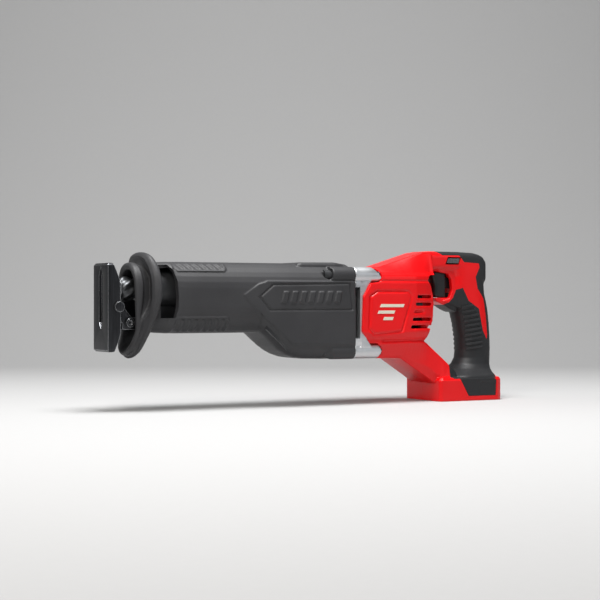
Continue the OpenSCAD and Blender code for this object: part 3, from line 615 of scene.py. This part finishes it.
def guard_solid():
    """The nose tube, the dish round it and the guard's rim as one ring-shaped solid round the mouth."""
    mouth, wall, rim = smooth_ring(MOUTH_EDGE), smooth_ring(NOSE_WALL), smooth_ring(GUARD_RIM)
    inner_rim = scaled(rim, 0.87, 0.93)

    def between(a, b, share):
        return [(y0 + (y1 - y0) * share, z0 + (z1 - z0) * share) for (y0, z0), (y1, z1) in zip(a, b)]

    def at(ring, place):
        return [(place(z), y, z) for y, z in ring]

    def lip(ahead):
        return lambda z: along(LIP_X, z) + ahead

    def edge(behind, dished=0.0):
        return lambda z: max(along(RIM_X, z) + behind + dished * along(DISH, z), along(LIP_X, z) + 4)

    def back(ahead):
        return lambda z: along(BACK_X, z) - ahead

    waist = [(y0 + (y1 - y0) * 0.6 * along(DISH, z0), z0 + (z1 - z0) * 0.6 * along(DISH, z0))
        for (y0, z0), (y1, z1) in zip(wall, mouth)]
    return loft(
        [
            at(smooth_ring(THROAT), lambda z: 46),
            at(mouth, lip(2.2)),
            at(between(mouth, wall, 0.25), lip(0.5)),
            at(between(mouth, wall, 0.6), lip(0)),
            at(between(mouth, wall, 0.9), lip(1.2)),
            at(wall, lip(3.2)),
            at(wall, edge(-5.5)),
            at(waist, edge(-5, 1.5)),
            at(waist, edge(-4.5, 8.5)),
            at(between(wall, inner_rim, 0.55), edge(-2, 7.5)),
            at(between(wall, inner_rim, 0.85), edge(-0.6, 2.5)),
            at(inner_rim, edge(0)),
            at(scaled(rim, 0.96, 0.975), edge(2)),
            at(rim, back(5)),
            at(rim, back(2)),
            at(scaled(rim, 0.95, 0.965), back(0)),
            at(scaled(rim, 0.72, 0.78), back(-0.6)),
        ],
        ring_closed=True,
    )


def rib_rows(side):
    """Raised ribs on the shoulder and on the underside of the barrel, one list of solids per side."""
    grown = loft_x(BARREL[:4], 1.2)
    y0, y1 = span(side, 15)
    bars = []
    for i in range(7):
        x = 66 + 8.4 * i
        bars.append(prism_y([(x, 26.2), (x + 3.2, 26.2), (x + 8, 20.8), (x + 4.8, 20.8)], y0, y1))
    bars.append(prism_y([(61, 26.4), (71.5, 18.2), (123, 18.2), (126, 20.5), (126, 26.4), (124.4, 26.4),
        (124.4, 21), (122.4, 19.6), (72, 19.6), (63.2, 26.4)], y0, y1))
    for i in range(7):
        x = 74 + 7.6 * i
        bars.append(prism_y([(x, -31.8), (x + 3.2, -31.8), (x + 4, -38), (x + 3.4, -44), (x + 0.2, -44),
            (x + 0.8, -38)], y0, y1))
    bars.append(prism_y([(66, -44), (66, -33), (69, -28.6), (125, -28.6), (128, -32.5), (128, -44),
        (126.4, -44),
        (126.4, -33), (124.4, -30.2), (69.8, -30.2), (67.6, -33.6), (67.6, -44)], y0, y1))
    return keep(grown, join(bars))


def boot_solid(settings):
    """The boot's outer forms, still as separate overlapping solids."""
    belly = [(x, 35.9, z, 8, 19) for x, z in BELLY_CURVE]
    hump = [(213, 22, 20, 27.6, 7), (217, 23, 20, 28.9, 8), (259, 23, 20, 29.3, 8), (270, 21, 20, 27.8, 7)]
    parts = [
        loft_x(BARREL),
        loft_x(belly),
        prism_y(CREASE, -36.3, 36.3),
        loft_x(hump),
        loft_x([(45, 25, -43, 25.5, 15), (52, 28.5, -44.5, 27.2, 18), (66, 34.5, -45.3, 27.8, 20)]),
        guard_solid(),
    ]
    for side in (-1, 1):
        parts.append(rod_x(BOOT_END - 29, BOOT_END, 9, side * LOBE_Y, LOBE_TOP_Z))
        parts.append(rod_x(BOOT_END - 27, BOOT_END, 8.4, side * (LOBE_Y + 0.4), LOBE_LOW_Z + 0.2))
        parts.append(loft([[(x, y, z) for y, z in circle(r, side * (LOBE_Y + dy), LOBE_LOW_Z + dz)]
            for x, r, dy, dz in ((BOOT_END - 42, 2, -3, -2), (BOOT_END - 27, 8.4, 0.4, 0.2))]))
        parts.append(rib_rows(side))
        # plain slanted bars on the side panel
        for i in range(settings.panel_bars):
            x = 187 + 10.6 * i
            parts.append(prism_y([(x, -13.5), (x + 5.6, -13.5), (x + 8.2, -2.5), (x + 2.6, -2.5)],
                *span(side, 34, 37.7)))
    return parts


def boot_cuts():
    """Grooves and scoops that are cut before the skin is rounded."""
    tools = []
    for side in (-1, 1):
        near, far = span(side, 34.9, 45)
        groove = prism_y(ARROW_GROOVE, near, far)
        tools.append(cut(groove, prism_y(ARROW, near - 1, far + 1)))
        scoop = prism_y([(237, 20), (240.5, 12.5), (246, 10.4), (249.6, 12), (249.6, 22), (243, 23.4)],
            *span(side, 28.9))
        tools.append(scoop)
    return tools


def make_boot(settings):
    """The boot: its forms fused and rounded, then hollowed and opened."""
    parts = boot_solid(settings)
    body = parts[0]
    for part in parts[1:]:
        add(body, part)
    cut(body, *boot_cuts())
    body = melt([body], settings.skin, 2)
    # hollow for the gear case, bores for its screws, chamber round the clamp, throat and side windows
    window = [(52.8, 24.3), (61.5, 24.6), (66, 19), (69, 8.5), (70.3, -8), (69.8, -20), (67.4, -29.6),
        (52.8, -29.6)]
    hollow = loft_x([(72, 36 - BOOT_WALL, BARREL_LOW + BOOT_WALL, BARREL_TOP - BOOT_WALL, 21),
        (BOOT_END + 2, 36 - BOOT_WALL, BARREL_LOW + BOOT_WALL, BARREL_TOP - BOOT_WALL, 21)])
    belly = loft_x([(x + 2.5, 36 - BOOT_WALL, z + BOOT_WALL, 0, 12) for x, z in BELLY_CURVE[2:-1]]
        + [(BOOT_END + 2, 36 - BOOT_WALL, BELLY_LOW + BOOT_WALL, 0, 12)])
    cut(body, add(hollow, belly))
    for side in (-1, 1):
        cut(body, rod_x(BOOT_END - 27, BOOT_END + 2, 5.9, side * LOBE_Y, LOBE_TOP_Z))
        cut(body, rod_x(BOOT_END - 27, BOOT_END + 2, 4.9, side * LOBE_Y, LOBE_LOW_Z))
    cut(body, loft_x([(50, 23, -42.5, 23, 14), (54, 26.3, -43, 24.3, 16), (73, 28, -43, 24.3, 16)]))
    throat = smooth_ring(THROAT)
    cut(body, loft([[(x, y, z) for y, z in throat] for x in (43, 52)]))
    for side in (-1, 1):
        cut(body, prism_y(window, *span(side, 20)))
    return body


# ------------------------------------------------------------------ handle, motor housing and foot

# motor housing seen from the side, how it narrows towards the rear, and the line of its roof
MOTOR_SIDE = [(283, -59.5), (283, 27), (BOOT_END + 34, 26.5), (BOOT_END + 66, 36), (BOOT_END + 97, 44),
    (BOOT_END + 114, 44), (BOOT_END + 114, 17.5), (BOOT_END + 101, 15.8), (BOOT_END + 97.5, 10.5),
    (BOOT_END + 102.5, 4), (BOOT_END + 105.6, -6), (BOOT_END + 106.4, -16), (BOOT_END + 105.2, -34),
    (BOOT_END + 99.4, -47.5), (BOOT_END + 92, -59.5)]
DRAW_IN = [(BOOT_END + 60, 1.0), (BOOT_END + 78, 0.95), (BOOT_END + 92, 0.84), (BOOT_END + 104, 0.7)]
ROOF = [(BOOT_END + 8, 24.6), (BOOT_END + 40, 25), (BOOT_END + 97, 42.2), (BOOT_END + 116, 43.4)]
# red panel of the handle seen from the side: its edge against the rubber
HANDLE_RED = [(370, 60), (393, 60), (393, 43.7), (401.8, 38.9), (424, 39.1), (430.6, 31.6), (450.6, 30.5),
    (451.8, 26),
    (446.4, 15.1), (449.1, 1.8), (458.4, -9.6), (461.8, -30), (463.9, -51.7), (462.2, -55.8),
    (456.4, -45.3),
    (450.8, -21), (436.8, -12), (432, -3), (429.1, 2.6), (421.5, 0.5), (417.8, -8.3), (412.5, -13.6),
    (405, -17), (370, -30)]


def housing_ring(x):
    """The motor housing's faceted section at a place along its length."""
    roof = along(ROOF, x)
    share = along(DRAW_IN, x)
    half = [(0, roof), (15.5, roof), (17, roof - 0.8), (31.5 * share, 19.2), (35.8 * share, 15.6),
        (36.6 * share, 10.6),
        (35.6 * share, 10.2), (35.6 * share, 8.9), (37.3 * share, 8.3), (37.5 * share, -12),
        (37.3 * share, -46.5),
        (35.6 * share, -52), (31 * share, -56.8), (29.5 * share, -59.2), (0, -59.4)]
    return mirrored(x, half)


def strut_ring(x):
    """The strut's faceted section: a narrow ledge above, sides that lean in, and a flat underside."""
    top = along([(285, -57), (366, -55.5), (373, -58), (399.4, -78.9), (414, -91), (420, -95)], x)
    low_edge = along([(285, -74.3), (341, -75.4), (386, -104), (420, -112)], x)
    crease = low_edge + (top - low_edge) * along([(285, 0.16), (350, 0.16), (375, 0.3), (420, 0.3)], x)
    edge = along([(285, 34.4), (345, 34.4), (362, 31), (376, 27), (420, 25)], x)
    side = along([(285, 26.5), (345, 26.8), (400, 28.5), (420, 30)], x)
    half = [(0, top), (edge - 2, top), (edge, top - 2.2), (side, crease), (side - 3, low_edge),
        (0, low_edge)]
    return mirrored(x, half)


# sections of the grip from the foot up: height, front, rear, half width, power of the oval
GRIP = [
    (FOOT_LOW + 25.5, 411, 468.5, 35.2, 5),
    (FOOT_LOW + 28, 413, 468.5, 33.5, 4.6),
    (FOOT_LOW + 31, 417.5, 469, 28.5, 3.6),
    (FOOT_LOW + 35, 423, 471, 22.5, 2.8),
    (FOOT_LOW + 40, 428, 472.5, 18.6, 2.4),
    (FOOT_LOW + 47, 431.5, 473.6, 17, 2.3),
    (-67, 432.5, 474, 16.6, 2.3),
    (-54, 431.8, 473.6, 16.8, 2.3),
    (-37, 428.6, 472.4, 17, 2.3),
    (-22, 424.5, 470.4, 17.2, 2.4),
    (-12, 419, 467.4, 17.2, 2.7),
    (-4, 416, 464.8, 17.1, 3),
    (6, 416.5, 463.2, 17, 3.4),
    (16, 417, 463.6, 17, 3.4),
    (26, 412, 465.4, 16.9, 3.4),
]
# stations of the bar over the trigger, as in BARREL
TOP_BAR = [(352, 15.5, 12, 33.6, 5), (368, 15.8, 12, 40.6, 6), (378, 16.2, 15.5, 43, 6),
    (386, 16.6, 19.5, 43.5, 7),
    (394, 16.8, 21.2, 43.5, 7), (425, 16.8, 21.2, 43.3, 7), (445, 16.8, 14, 42.5, 6),
    (452, 16.8, 10, 41, 6),
    (458, 16.2, 8, 38.8, 6), (462.3, 14.6, 8, 35.2, 7)]


def saw_handle_solid():
    """Every outer form of the two shells and the grip, fused but still sharp."""
    steps = [283 + (386 - 283) * i / 60 for i in range(61)]
    housing = keep(loft([housing_ring(x) for x in steps]), prism_y(MOTOR_SIDE))
    strut = loft([strut_ring(290 + 4 * i) for i in range(32)])
    strut = keep(strut, block(285, 416, -50, 50, FOOT_LOW + 8, 0))
    grip = loft([[(x, y, z) for x, y in oval(x0, x1, half, power)] for z, x0, x1, half, power in GRIP])
    foot_plan = [(FOOT_FRONT, 33), (FOOT_FRONT + 2.5, FOOT_HALF), (FOOT_REAR - 9, FOOT_HALF),
        (FOOT_REAR - 3, FOOT_HALF - 3),
        (FOOT_REAR, FOOT_HALF - 10)]
    foot_plan = foot_plan + [(x, -y) for x, y in foot_plan[::-1]]
    foot = prism_z(foot_plan, FOOT_LOW, FOOT_LOW + 23.6)
    crown = prism_z([(x - 0.8 if x > 430 else x + 1.4, y * 0.965) for x, y in foot_plan], FOOT_LOW + 20,
        FOOT_LOW + 26)
    hook = prism_y([(394.6, -8.7), (424, -8.7), (424, -25), (416, -22), (407, -17), (396.5, -13)], -11.5,
        11.5)
    cheek = prism_y([(398, 24), (398, 20.9), (411, 18.5), (415.5, 12), (417, 0), (413, -9.6),
        (404, -12.5), (432, -22), (440, 24)], -13.5, 13.5)
    solid = housing
    for part in (strut, grip, foot, crown, hook, cheek, loft_x(TOP_BAR)):
        add(solid, part)
    return solid


def housing_cuts(settings):
    """Badge frames, vents and the seat of the casting."""
    tools = []
    for side in (-1, 1):
        near, far = span(side, 35.7)
        outer = [(302.6, -0.6), (343.8, -0.6), (349.8, -7), (336, -46.8), (298.8, -49.8), (292.2, -43.4),
            (293.2, -6.8)]
        inner = [(304, -3), (342.6, -3), (346.4, -7.8), (334, -44.4), (300, -47.2), (294.8, -42.4),
            (295.8, -8)]
        tools.append(cut(prism_y(outer, near, far), prism_y(inner, near - 1, far + 1)))
        for i in range(settings.vents):
            z = -7.6 - 8.3 * i
            front_x = 355.5 - 2.2 * i
            near_v, far_v = span(side, 21 if i != 2 else 31.4)
            tools.append(prism_y([(front_x, z - 1.7), (379.4, z - 1.7), (379.4, z + 1.7),
                (front_x + 1.4, z + 1.7)], near_v, far_v))
    # seat of the silver casting: the shells' front edge runs to a blunt point on each side
    tools.append(prism_y([(270, -45.5), (284.6, -45.5), (295.6, -58.2), (306, -58.2), (311, -66.4),
        (306.8, -90), (270, -90)]))
    tools.append(prism_y([(270, -46), (284.6, -45.5), (286.2, -7), (296, 7.2), (306.6, 8.2),
        (309.8, 12.7), (305.4, 18.6),
        (291.2, 24.8), (270, 25.4)]))
    return tools


def make_handle(settings):
    """Both shells and the grip as one rounded skin with its hollows, before it is parted."""
    solid = cut(saw_handle_solid(), *housing_cuts(settings))
    # a red tongue between the upper lobes and a core behind the casting close the front of the shells
    tongue = prism_y([(291, 4), (291, 24.6), (313, 24.6), (313, 4)], -16.8, 16.8)
    tongue = add(tongue, prism_y([(291.2, -58), (291.2, 6), (300, 6), (312, -58)], -34, 34))
    tongue = add(tongue, prism_y([(291.2, -74.2), (291.2, -55), (314, -55), (314, -74.6)], -17.5, 17.5))
    add(solid, tongue)
    skin = melt([solid], settings.skin, 4)
    # ribs on both sides of the grip
    ribs = []
    for i in range(settings.grip_ribs):
        z = -17.5 - 5.2 * i
        x0 = along([(-70, 436), (-37, 433), (-17, 428)], z) + 1
        x1 = along([(-70, 455), (-50, 454.5), (-30, 451), (-17, 441)], z)
        ribs.append(prism_y([(x0, z - 3.6), (x1, z - 0.6), (x1 + 1, z + 1.0), (x1, z + 2.0),
            (x0, z - 1.0)], -30, 30))
    grown = loft([[(x, y, z) for x, y in oval(x0 - 0.9, x1 + 0.9, half + 0.95, power)] for z, x0, x1,
        half, power in GRIP])
    skin = add(skin, keep(grown, join(ribs)))
    # hollow of the motor room, the trigger's slot, the lock button's hole and the battery bay
    room = keep(
        loft([[(x, y * 0.9, -18 + (z + 18) * 0.88) for x, y, z in housing_ring(x)] for x in (292.5, 320,
        340, 360, 371)]),
        prism_y([(292, -54), (292, 21), (330, 21), (366, 26), (366, 10), (372, 0), (372, -34),
        (366, -50)], -50, 50),
    )
    cut(skin, room)
    cut(skin, block(376, 420, -8.3, 8.3, -8.6, 20.9), block(419, 440, -5.9, 5.9, 1.6, 14.4))
    cut(skin, block(433, 461, -10.3, 10.3, -23, 25))
    cut(skin, prism_y([(405, 28.8), (423.6, 28.8), (427, 37.2), (408.4, 37.2)]))
    cut(skin, block(FOOT_FRONT + 6, FOOT_REAR + 5, -28, 28, FOOT_LOW + 4, FOOT_LOW + 16))
    cut(skin, block(FOOT_FRONT + 6, FOOT_REAR + 5, -24, 24, FOOT_LOW - 3, FOOT_LOW + 5))
    for x, z, depth in SCREWS:
        cut(skin, rod_y(depth, 60, 3.4, x, z))
        cut(skin, rod_y(-8, depth + 1, 1.9, x, z))
    # the shell leaves room for the casting's lobes and screws
    for side in (-1, 1):
        cut(skin, rod_x(270, BOOT_END + 33.2, 9.2, side * LOBE_Y, LOBE_TOP_Z))
        cut(skin, rod_x(270, BOOT_END + 33.2, 8.2, side * LOBE_Y, LOBE_LOW_Z))
        cut(skin, rod_x(270, BOOT_END + 36, 4.6, side * LOBE_Y, LOBE_TOP_Z))
        cut(skin, rod_x(270, BOOT_END + 36, 4.6, side * LOBE_Y, LOBE_LOW_Z))
    return skin


# holes of the shell screws (X, Z, depth of the counterbore), and the outline of the foot's rubber pad
SCREWS = [(BOOT_END + 70, 30, 15), (BOOT_END + 120, 34, 9), (BOOT_END + 183, 30, 9),
    (BOOT_END + 60, -68, 15),
    (BOOT_END + 100, FOOT_LOW + 42, 15), (BOOT_END + 190, FOOT_LOW + 26, 9)]
PAD = [(411.8, FOOT_LOW + 25.2), (423.2, FOOT_LOW + 5.2), (460.6, FOOT_LOW + 4.7), (461.6, FOOT_LOW + 23),
    (459.5, FOOT_LOW + 25.2)]


def rubber_region():
    """The prism that holds the rubber of the grip, up to the edge of the red panel."""
    whole = prism_y([(404, 60), (404, -99.2), (461, -99.2), (465, -94.5), (469.4, -87), (473.6, -80),
        (490, -78), (490, 60)], -45, 45)
    top = prism_y([(393, 60), (404.5, 60), (404.5, 20), (393, 30)], -45, 45)
    add(whole, top)
    return cut(whole, prism_y(HANDLE_RED, -50, 50))


# ------------------------------------------------------------------ operators


class SawSettings(bpy.types.PropertyGroup):
    """Sizes that a user would change."""

    skin: FloatProperty(name="Skin detail", description="Cell size of the rounded skins, in millimetres",
        default=0.8, min=0.4, max=3)
    panel_bars: IntProperty(name="Panel bars",
        description="Plain raised bars on each side panel of the boot", default=7, min=0, max=8)
    vents: IntProperty(name="Vents", description="Air slots on each side of the motor housing", default=5,
        min=0, max=5)
    grip_ribs: IntProperty(name="Grip ribs", description="Raised ribs on each side of the grip",
        default=10, min=0, max=11)
    edge: FloatProperty(name="Broken edge",
        description="Width of the broken edges on metal pieces, in millimetres", default=0.5, min=0.1,
        max=1)
    floor: FloatVectorProperty(name="Floor", description="Colour of the studio floor", subtype="COLOR",
        default=linear("b4b4b4"))


class SAW_OT_boot(bpy.types.Operator):
    """Rubber boot with its guard, mouth, windows, ribs and panels"""

    bl_idname = "saw.boot"
    bl_label = "Boot"

    def execute(self, context):
        body = make_boot(context.scene.saw_settings)
        finish_piece(body, "boot", "casing", "boot_rubber", "front_boot")
        return {"FINISHED"}


class SAW_OT_handle(bpy.types.Operator):
    """Red clamshell halves and the rubber over the grip"""

    bl_idname = "saw.handle"
    bl_label = "Shells and grip"

    def execute(self, context):
        skin = make_handle(context.scene.saw_settings)
        rubber = keep(copy_of(skin), rubber_region())
        cut(skin, rubber_region())
        for side, word in SIDES:
            red = keep(copy_of(skin), half_space(side))
            near, far = span(side, 35.4)
            cut(red, prism_y([(x, z) for x, z in PAD], near, far))
            finish_piece(red, "shell_" + word + "_red", "casing", "red_nylon", "shell_" + word)
            black = keep(copy_of(rubber), half_space(side))
            finish_piece(black, "grip_" + word + "_rubber", "casing", "grip_rubber",
                "grip_overmold_" + word)
        discard(skin)
        discard(rubber)
        return {"FINISHED"}


class SAW_OT_badge(bpy.types.Operator):
    """Plain pale bars in the badge frames, and dark strips of painted shade in the slots behind the boot"""

    bl_idname = "saw.badge"
    bl_label = "Badge bars and shade strips"

    def execute(self, context):
        for side, word in SIDES:
            near, far = span(side, 37.2, 37.75)
            bars = [prism_y([(x, z), (x + length, z), (x + length + 1.6, z + 3.4), (x + 1.6, z + 3.4)],
                near, far)
                for x, z, length in ((306, -19, 30), (303, -26, 21), (310, -33, 12))]
            finish_piece(join(bars), "badge_bars_" + word, "casing", "fan_nylon")
            # a black strip of painted shade that darkens the slot between the boot and the casting
            strip = block(BOOT_END + 0.4, BOOT_END + 5.6, *span(side, 27.2, 28.2), -52.2, 2.2)
            finish_piece(strip, "painted_shade_strip_" + word, "casing", "black_plastic")
        return {"FINISHED"}


class SAW_OT_foot_pads(bpy.types.Operator):
    """Rubber pads let into the sides of the foot"""

    bl_idname = "saw.foot_pads"
    bl_label = "Foot pads"

    def execute(self, context):
        gap = 0.35
        for side, word in SIDES:
            outline = [(x + (gap if x < 430 else -gap), z + (gap if z < -105 else -gap)) for x, z in PAD]
            pad = prism_y(outline, *span(side, 34.6, 36.4))
            thumb = prism_y([(437.5, -117.6), (439, -119), (459, -119), (460.2, -117.5), (460.6, -104.2),
                (458.5, -102.2),
                (441, -102.2), (438, -105)], *span(side, 35.7, 37))
            cut(pad, thumb)
            melt([pad], 0.5, 1)
            finish_piece(pad, "foot_pad_" + word + "_rubber", "casing", "grip_rubber", "foot_pad_" + word)
        return {"FINISHED"}


class SAW_OT_casting(bpy.types.Operator):
    """Silver casting between the boot and the shells, with its four screw lobes"""

    bl_idname = "saw.casting"
    bl_label = "Casting"

    def execute(self, context):
        plate = loft_x([(BOOT_END + 0.1, 34.6, BELLY_LOW + 3, 23.9, 19),
            (PLATE_END + 1, 34.9, BELLY_LOW + 3, 24.2, 19)])
        for side in (-1, 1):
            upper = rod_x(BOOT_END + 0.1, BOOT_END + 32.8, 9, side * LOBE_Y, LOBE_TOP_Z)
            cut(upper, prism_y([(299.5, 27), (299.5, 24.6), (310, 12.4), (306.5, 6), (315, 6), (315, 27)]))
            lower = rod_x(BOOT_END + 0.1, BOOT_END + 32.8, 8, side * LOBE_Y, LOBE_LOW_Z)
            cut(lower, prism_y([(306, -57), (310.2, -66.2), (306, -75.5), (315, -75.5), (315, -57)]))
            near, far = span(side, 25, 34.6)
            web = prism_y([(285, -62), (285, 14), (300, 14), (287.5, -6), (286, -46), (298, -62)], near,
                far)
            add(plate, upper, lower, web)
        melt([plate], 0.7, 2)
        for side in (-1, 1):
            near, far = span(side, 27)
            # dark slot along the rear edge of the boot
            cut(plate, block(BOOT_END - 1, 283, near, far, -52.7, 2.6))
            for z in (LOBE_TOP_Z, LOBE_LOW_Z):
                cut(plate, rod_x(BOOT_END - 2, BOOT_END + 34, 2.6, side * LOBE_Y, z))
        for radius, z in ((9.6, -18), (12.1, -42)):
            cut(plate, rod_x(BOOT_END - 2, BOOT_END + 20, radius, 0, z))
        finish_piece(plate, "bulkhead_cast", "casing", "silver_casting", "bulkhead")
        return {"FINISHED"}


class SAW_OT_controls(bpy.types.Operator):
    """Trigger and lock button"""

    bl_idname = "saw.controls"
    bl_label = "Controls"

    def execute(self, context):
        x0, x1 = low("trigger")[0], high("trigger")[0]
        face = [(x0 + 1.5, 20.3), (x0 + 0.2, 18), (x0 + 1, 13.5), (x0 + 2.8, 8.5), (x0 + 3.6, 3),
            (x0 + 3, -2), (x0 + 3.2, -5.5),
            (x0 + 5.5, -8.2), (411, -8.3), (411, 20.3)]
        lever = loft([[(x + inset, y, z) for x, z in face] for y, inset in
            ((-7.9, 5), (-7.2, 2.8), (-5.6, 1.2), (-3, 0.3), (0, 0), (3, 0.3), (5.6, 1.2), (7.2, 2.8),
            (7.9, 5))])
        keep(lever, block(x0 - 2, 411, -8, 8, -9, 21))
        add(lever, block(410, x1, -5.4, 5.4, 2, 14))
        melt([lever], 0.5, 2)
        finish_piece(lever, "trigger_lever", "trigger", "black_plastic", "trigger")
        y0, y1 = low("lock_button")[1], high("lock_button")[1]
        form = [(407.4, 30.3), (422.8, 30.3), (424.6, 35.7), (409.2, 35.7)]
        pin = prism_y(form, y0 + 0.2, y1 - 0.1)
        cut(pin, *[prism_y([(x, 29), (x + 1.2, 29), (x + 3.6, 37), (x + 2.4, 37)], y0 - 1,
            y0 + 0.7) for x in (410, 414, 418)])
        melt([pin], 0.4, 2)
        finish_piece(pin, "lock_slide", "lock_button", "grey_plastic", "lock_button")
        return {"FINISHED"}


def fluted_collar():
    """The clamp's turning collar: six twisted flutes on a barrel that is fullest at its middle."""
    x0, x1, reach = low("clamp_collar")[0], high("clamp_collar")[0], high("clamp_collar")[1]
    steps, count, flutes, flute_depth, bore = 14, 96, 6, 0.9, 9.1
    rings = []
    for i in range(steps + 1):
        share = i / steps
        size = reach - 0.3 - 1.9 * abs(2 * share - 1) ** 4 - flute_depth
        ring = []
        for k in range(count):
            a = math.tau * k / count
            r = size + flute_depth * math.cos(flutes * (a + share))
            ring.append((x0 + (x1 - x0) * share, math.cos(a) * r, math.sin(a) * r))
        rings.append(ring)
    return cut(loft(rings), rod_x(x0 - 1, x1 + 1, bore, 0, 0))


class SAW_OT_metalwork(bpy.types.Operator):
    """Shoe, bracket, clamp and screws with broken edges"""

    bl_idname = "saw.metalwork"
    bl_label = "Metalwork"

    def execute(self, context):
        edge = context.scene.saw_settings.edge
        refine("shoe", "shoe", "dark_steel", edge * 2, 3)
        refine("shoe_bracket", "shoe_bracket", "dark_steel", edge)
        refine("shoe_pivot_pin", "shoe_bracket", "dark_steel", edge * 0.7)
        refine("bracket_screw", "shoe_bracket", "dark_steel", edge * 0.5)
        finish_piece(fluted_collar(), "clamp_collar_fluted", "clamp_collar", "forged_steel", "clamp_collar")
        refine("clamp_body", "spindle", "forged_steel", edge * 0.6)
        refine("clamshell_screws", "casing", "dark_steel", edge * 0.4)
        refine("gear_case_screws", "casing", "dark_steel", edge * 0.4)
        refine("terminal_block", "casing", "black_plastic", edge * 0.6)
        refine("terminals", "casing", "brass", edge * 0.2)
        return {"FINISHED"}


class SAW_OT_inner_finishes(bpy.types.Operator):
    """Finishes of the CAD pieces that stay as they are"""

    bl_idname = "saw.inner_finishes"
    bl_label = "Inner finishes"

    def execute(self, context):
        slots = {s["node"]: s["material_slot"] for s in frame["record"]["subparts"]}
        for name, node in frame["nodes"].items():
            if not node.hide_render:
                node.data.materials.clear()
                node.data.materials.append(finish_for(slots[name]))
        return {"FINISHED"}


class SAW_OT_stage(bpy.types.Operator):
    """Pale floor that curves up behind, soft lights and the camera"""

    bl_idname = "saw.stage"
    bl_label = "Stage"

    def execute(self, context):
        self.backdrop(context.scene.saw_settings)
        self.lights()
        camera = bpy.data.objects.new("camera", bpy.data.cameras.new("camera"))
        bpy.context.scene.collection.objects.link(camera)
        camera.data.lens = 90
        camera.data.sensor_width = 36
        camera.location = CAMERA_PLACE
        camera.rotation_euler = (math.radians(90), 0, CAMERA_TURN)
        camera.data.clip_end = 20
        bpy.context.scene.camera = camera
        return {"FINISHED"}

    def backdrop(self, settings):
        """A paper sheet that lies under the saw and curves up behind it, square to the camera."""
        floor_z, bend_at, bend, reach, height = FOOT_LOW - 0.05, 900, 700, 3200, 3400
        profile = [(-2600, floor_z), (bend_at, floor_z)]
        for i in range(1, 17):
            a = math.radians(90 * i / 16)
            profile.append((bend_at + bend * math.sin(a), floor_z + bend * (1 - math.cos(a))))
        profile.append((bend_at + bend, height))
        c, s = math.cos(CAMERA_TURN), math.sin(CAMERA_TURN)
        points = [
            (240 + across * c - depth * s, across * s + depth * c, z)
            for across in (-reach, reach)
            for depth, z in profile
        ]
        n = len(profile)
        faces = [(i, i + 1, n + i + 1, n + i) for i in range(n - 1)]
        sheet = mesh_object("backdrop", points, faces)
        sheet.data.shade_smooth()
        material, tree, shader, place = start_material("paper_backdrop_matt", {"Roughness": 0.85})
        fibre = add_node(tree, "ShaderNodeTexNoise", {"Scale": per_mm(6), "Detail": 3.0}, {"Vector": place})
        tint = add_node(tree, "ShaderNodeMix", {"data_type": "RGBA",
            6: (*[c * 0.97 for c in settings.floor], 1),
            7: (*settings.floor, 1)}, {0: fibre.outputs[0]})
        tree.links.new(tint.outputs[2], shader.inputs["Base Color"])
        sheet.data.materials.append(material)

    def lights(self):
        """Four soft round lamps aimed at the saw, and a dim even surround."""
        target = Vector((0.24, 0, -0.04))
        for name, place, size, power, tint in (
            ("top", (0.15, -0.25, 1.3), 0.8, 38, "ffffff"),
            ("key", (-0.7, -0.9, 1.0), 0.6, 9, "fffaf4"),
            ("fill", (1.5, -1.6, 0.6), 1.0, 3, "f4f8ff"),
            ("edge", (-1.3, 0.7, 0.6), 0.8, 8, "ffffff"),
        ):
            light = bpy.data.lights.new(name, "AREA")
            light.shape = "DISK"
            light.size = size
            light.energy = power
            light.color = linear(tint)
            lamp = bpy.data.objects.new(name, light)
            bpy.context.scene.collection.objects.link(lamp)
            lamp.location = place
            lamp.rotation_mode = "QUATERNION"
            lamp.rotation_quaternion = (target - Vector(place)).to_track_quat("-Z", "Y")
        world = bpy.data.worlds.new("studio")
        bpy.context.scene.world = world
        world.use_nodes = True
        background = world.node_tree.nodes["Background"]
        background.inputs[0].default_value = (*linear("e6e8ea"), 1)
        background.inputs[1].default_value = 0.15
        bpy.context.scene.view_settings.view_transform = "Standard"


OPERATORS = (SAW_OT_badge, SAW_OT_boot, SAW_OT_handle, SAW_OT_foot_pads, SAW_OT_casting, SAW_OT_controls,
    SAW_OT_metalwork,
    SAW_OT_inner_finishes, SAW_OT_stage)


class SAW_PT_panel(bpy.types.Panel):
    """Lists the saw's sizes and its building steps"""

    bl_idname = "SAW_PT_panel"
    bl_label = "Reciprocating saw"
    bl_space_type = "VIEW_3D"
    bl_region_type = "UI"
    bl_category = "Saw"

    def draw(self, context):
        for name in SawSettings.__annotations__:
            self.layout.prop(context.scene.saw_settings, name)
        for operator in OPERATORS:
            self.layout.operator(operator.bl_idname)


CLASSES = (SawSettings, *OPERATORS, SAW_PT_panel)


def register():
    for item in CLASSES:
        bpy.utils.register_class(item)
    bpy.types.Scene.saw_settings = PointerProperty(type=SawSettings)


def unregister():
    del bpy.types.Scene.saw_settings
    for item in reversed(CLASSES):
        bpy.utils.unregister_class(item)


def main():
    register()
    for operator in OPERATORS:
        group, action = operator.bl_idname.split(".")
        getattr(getattr(bpy.ops, group), action)()


if __name__ == "__main__":
    main()
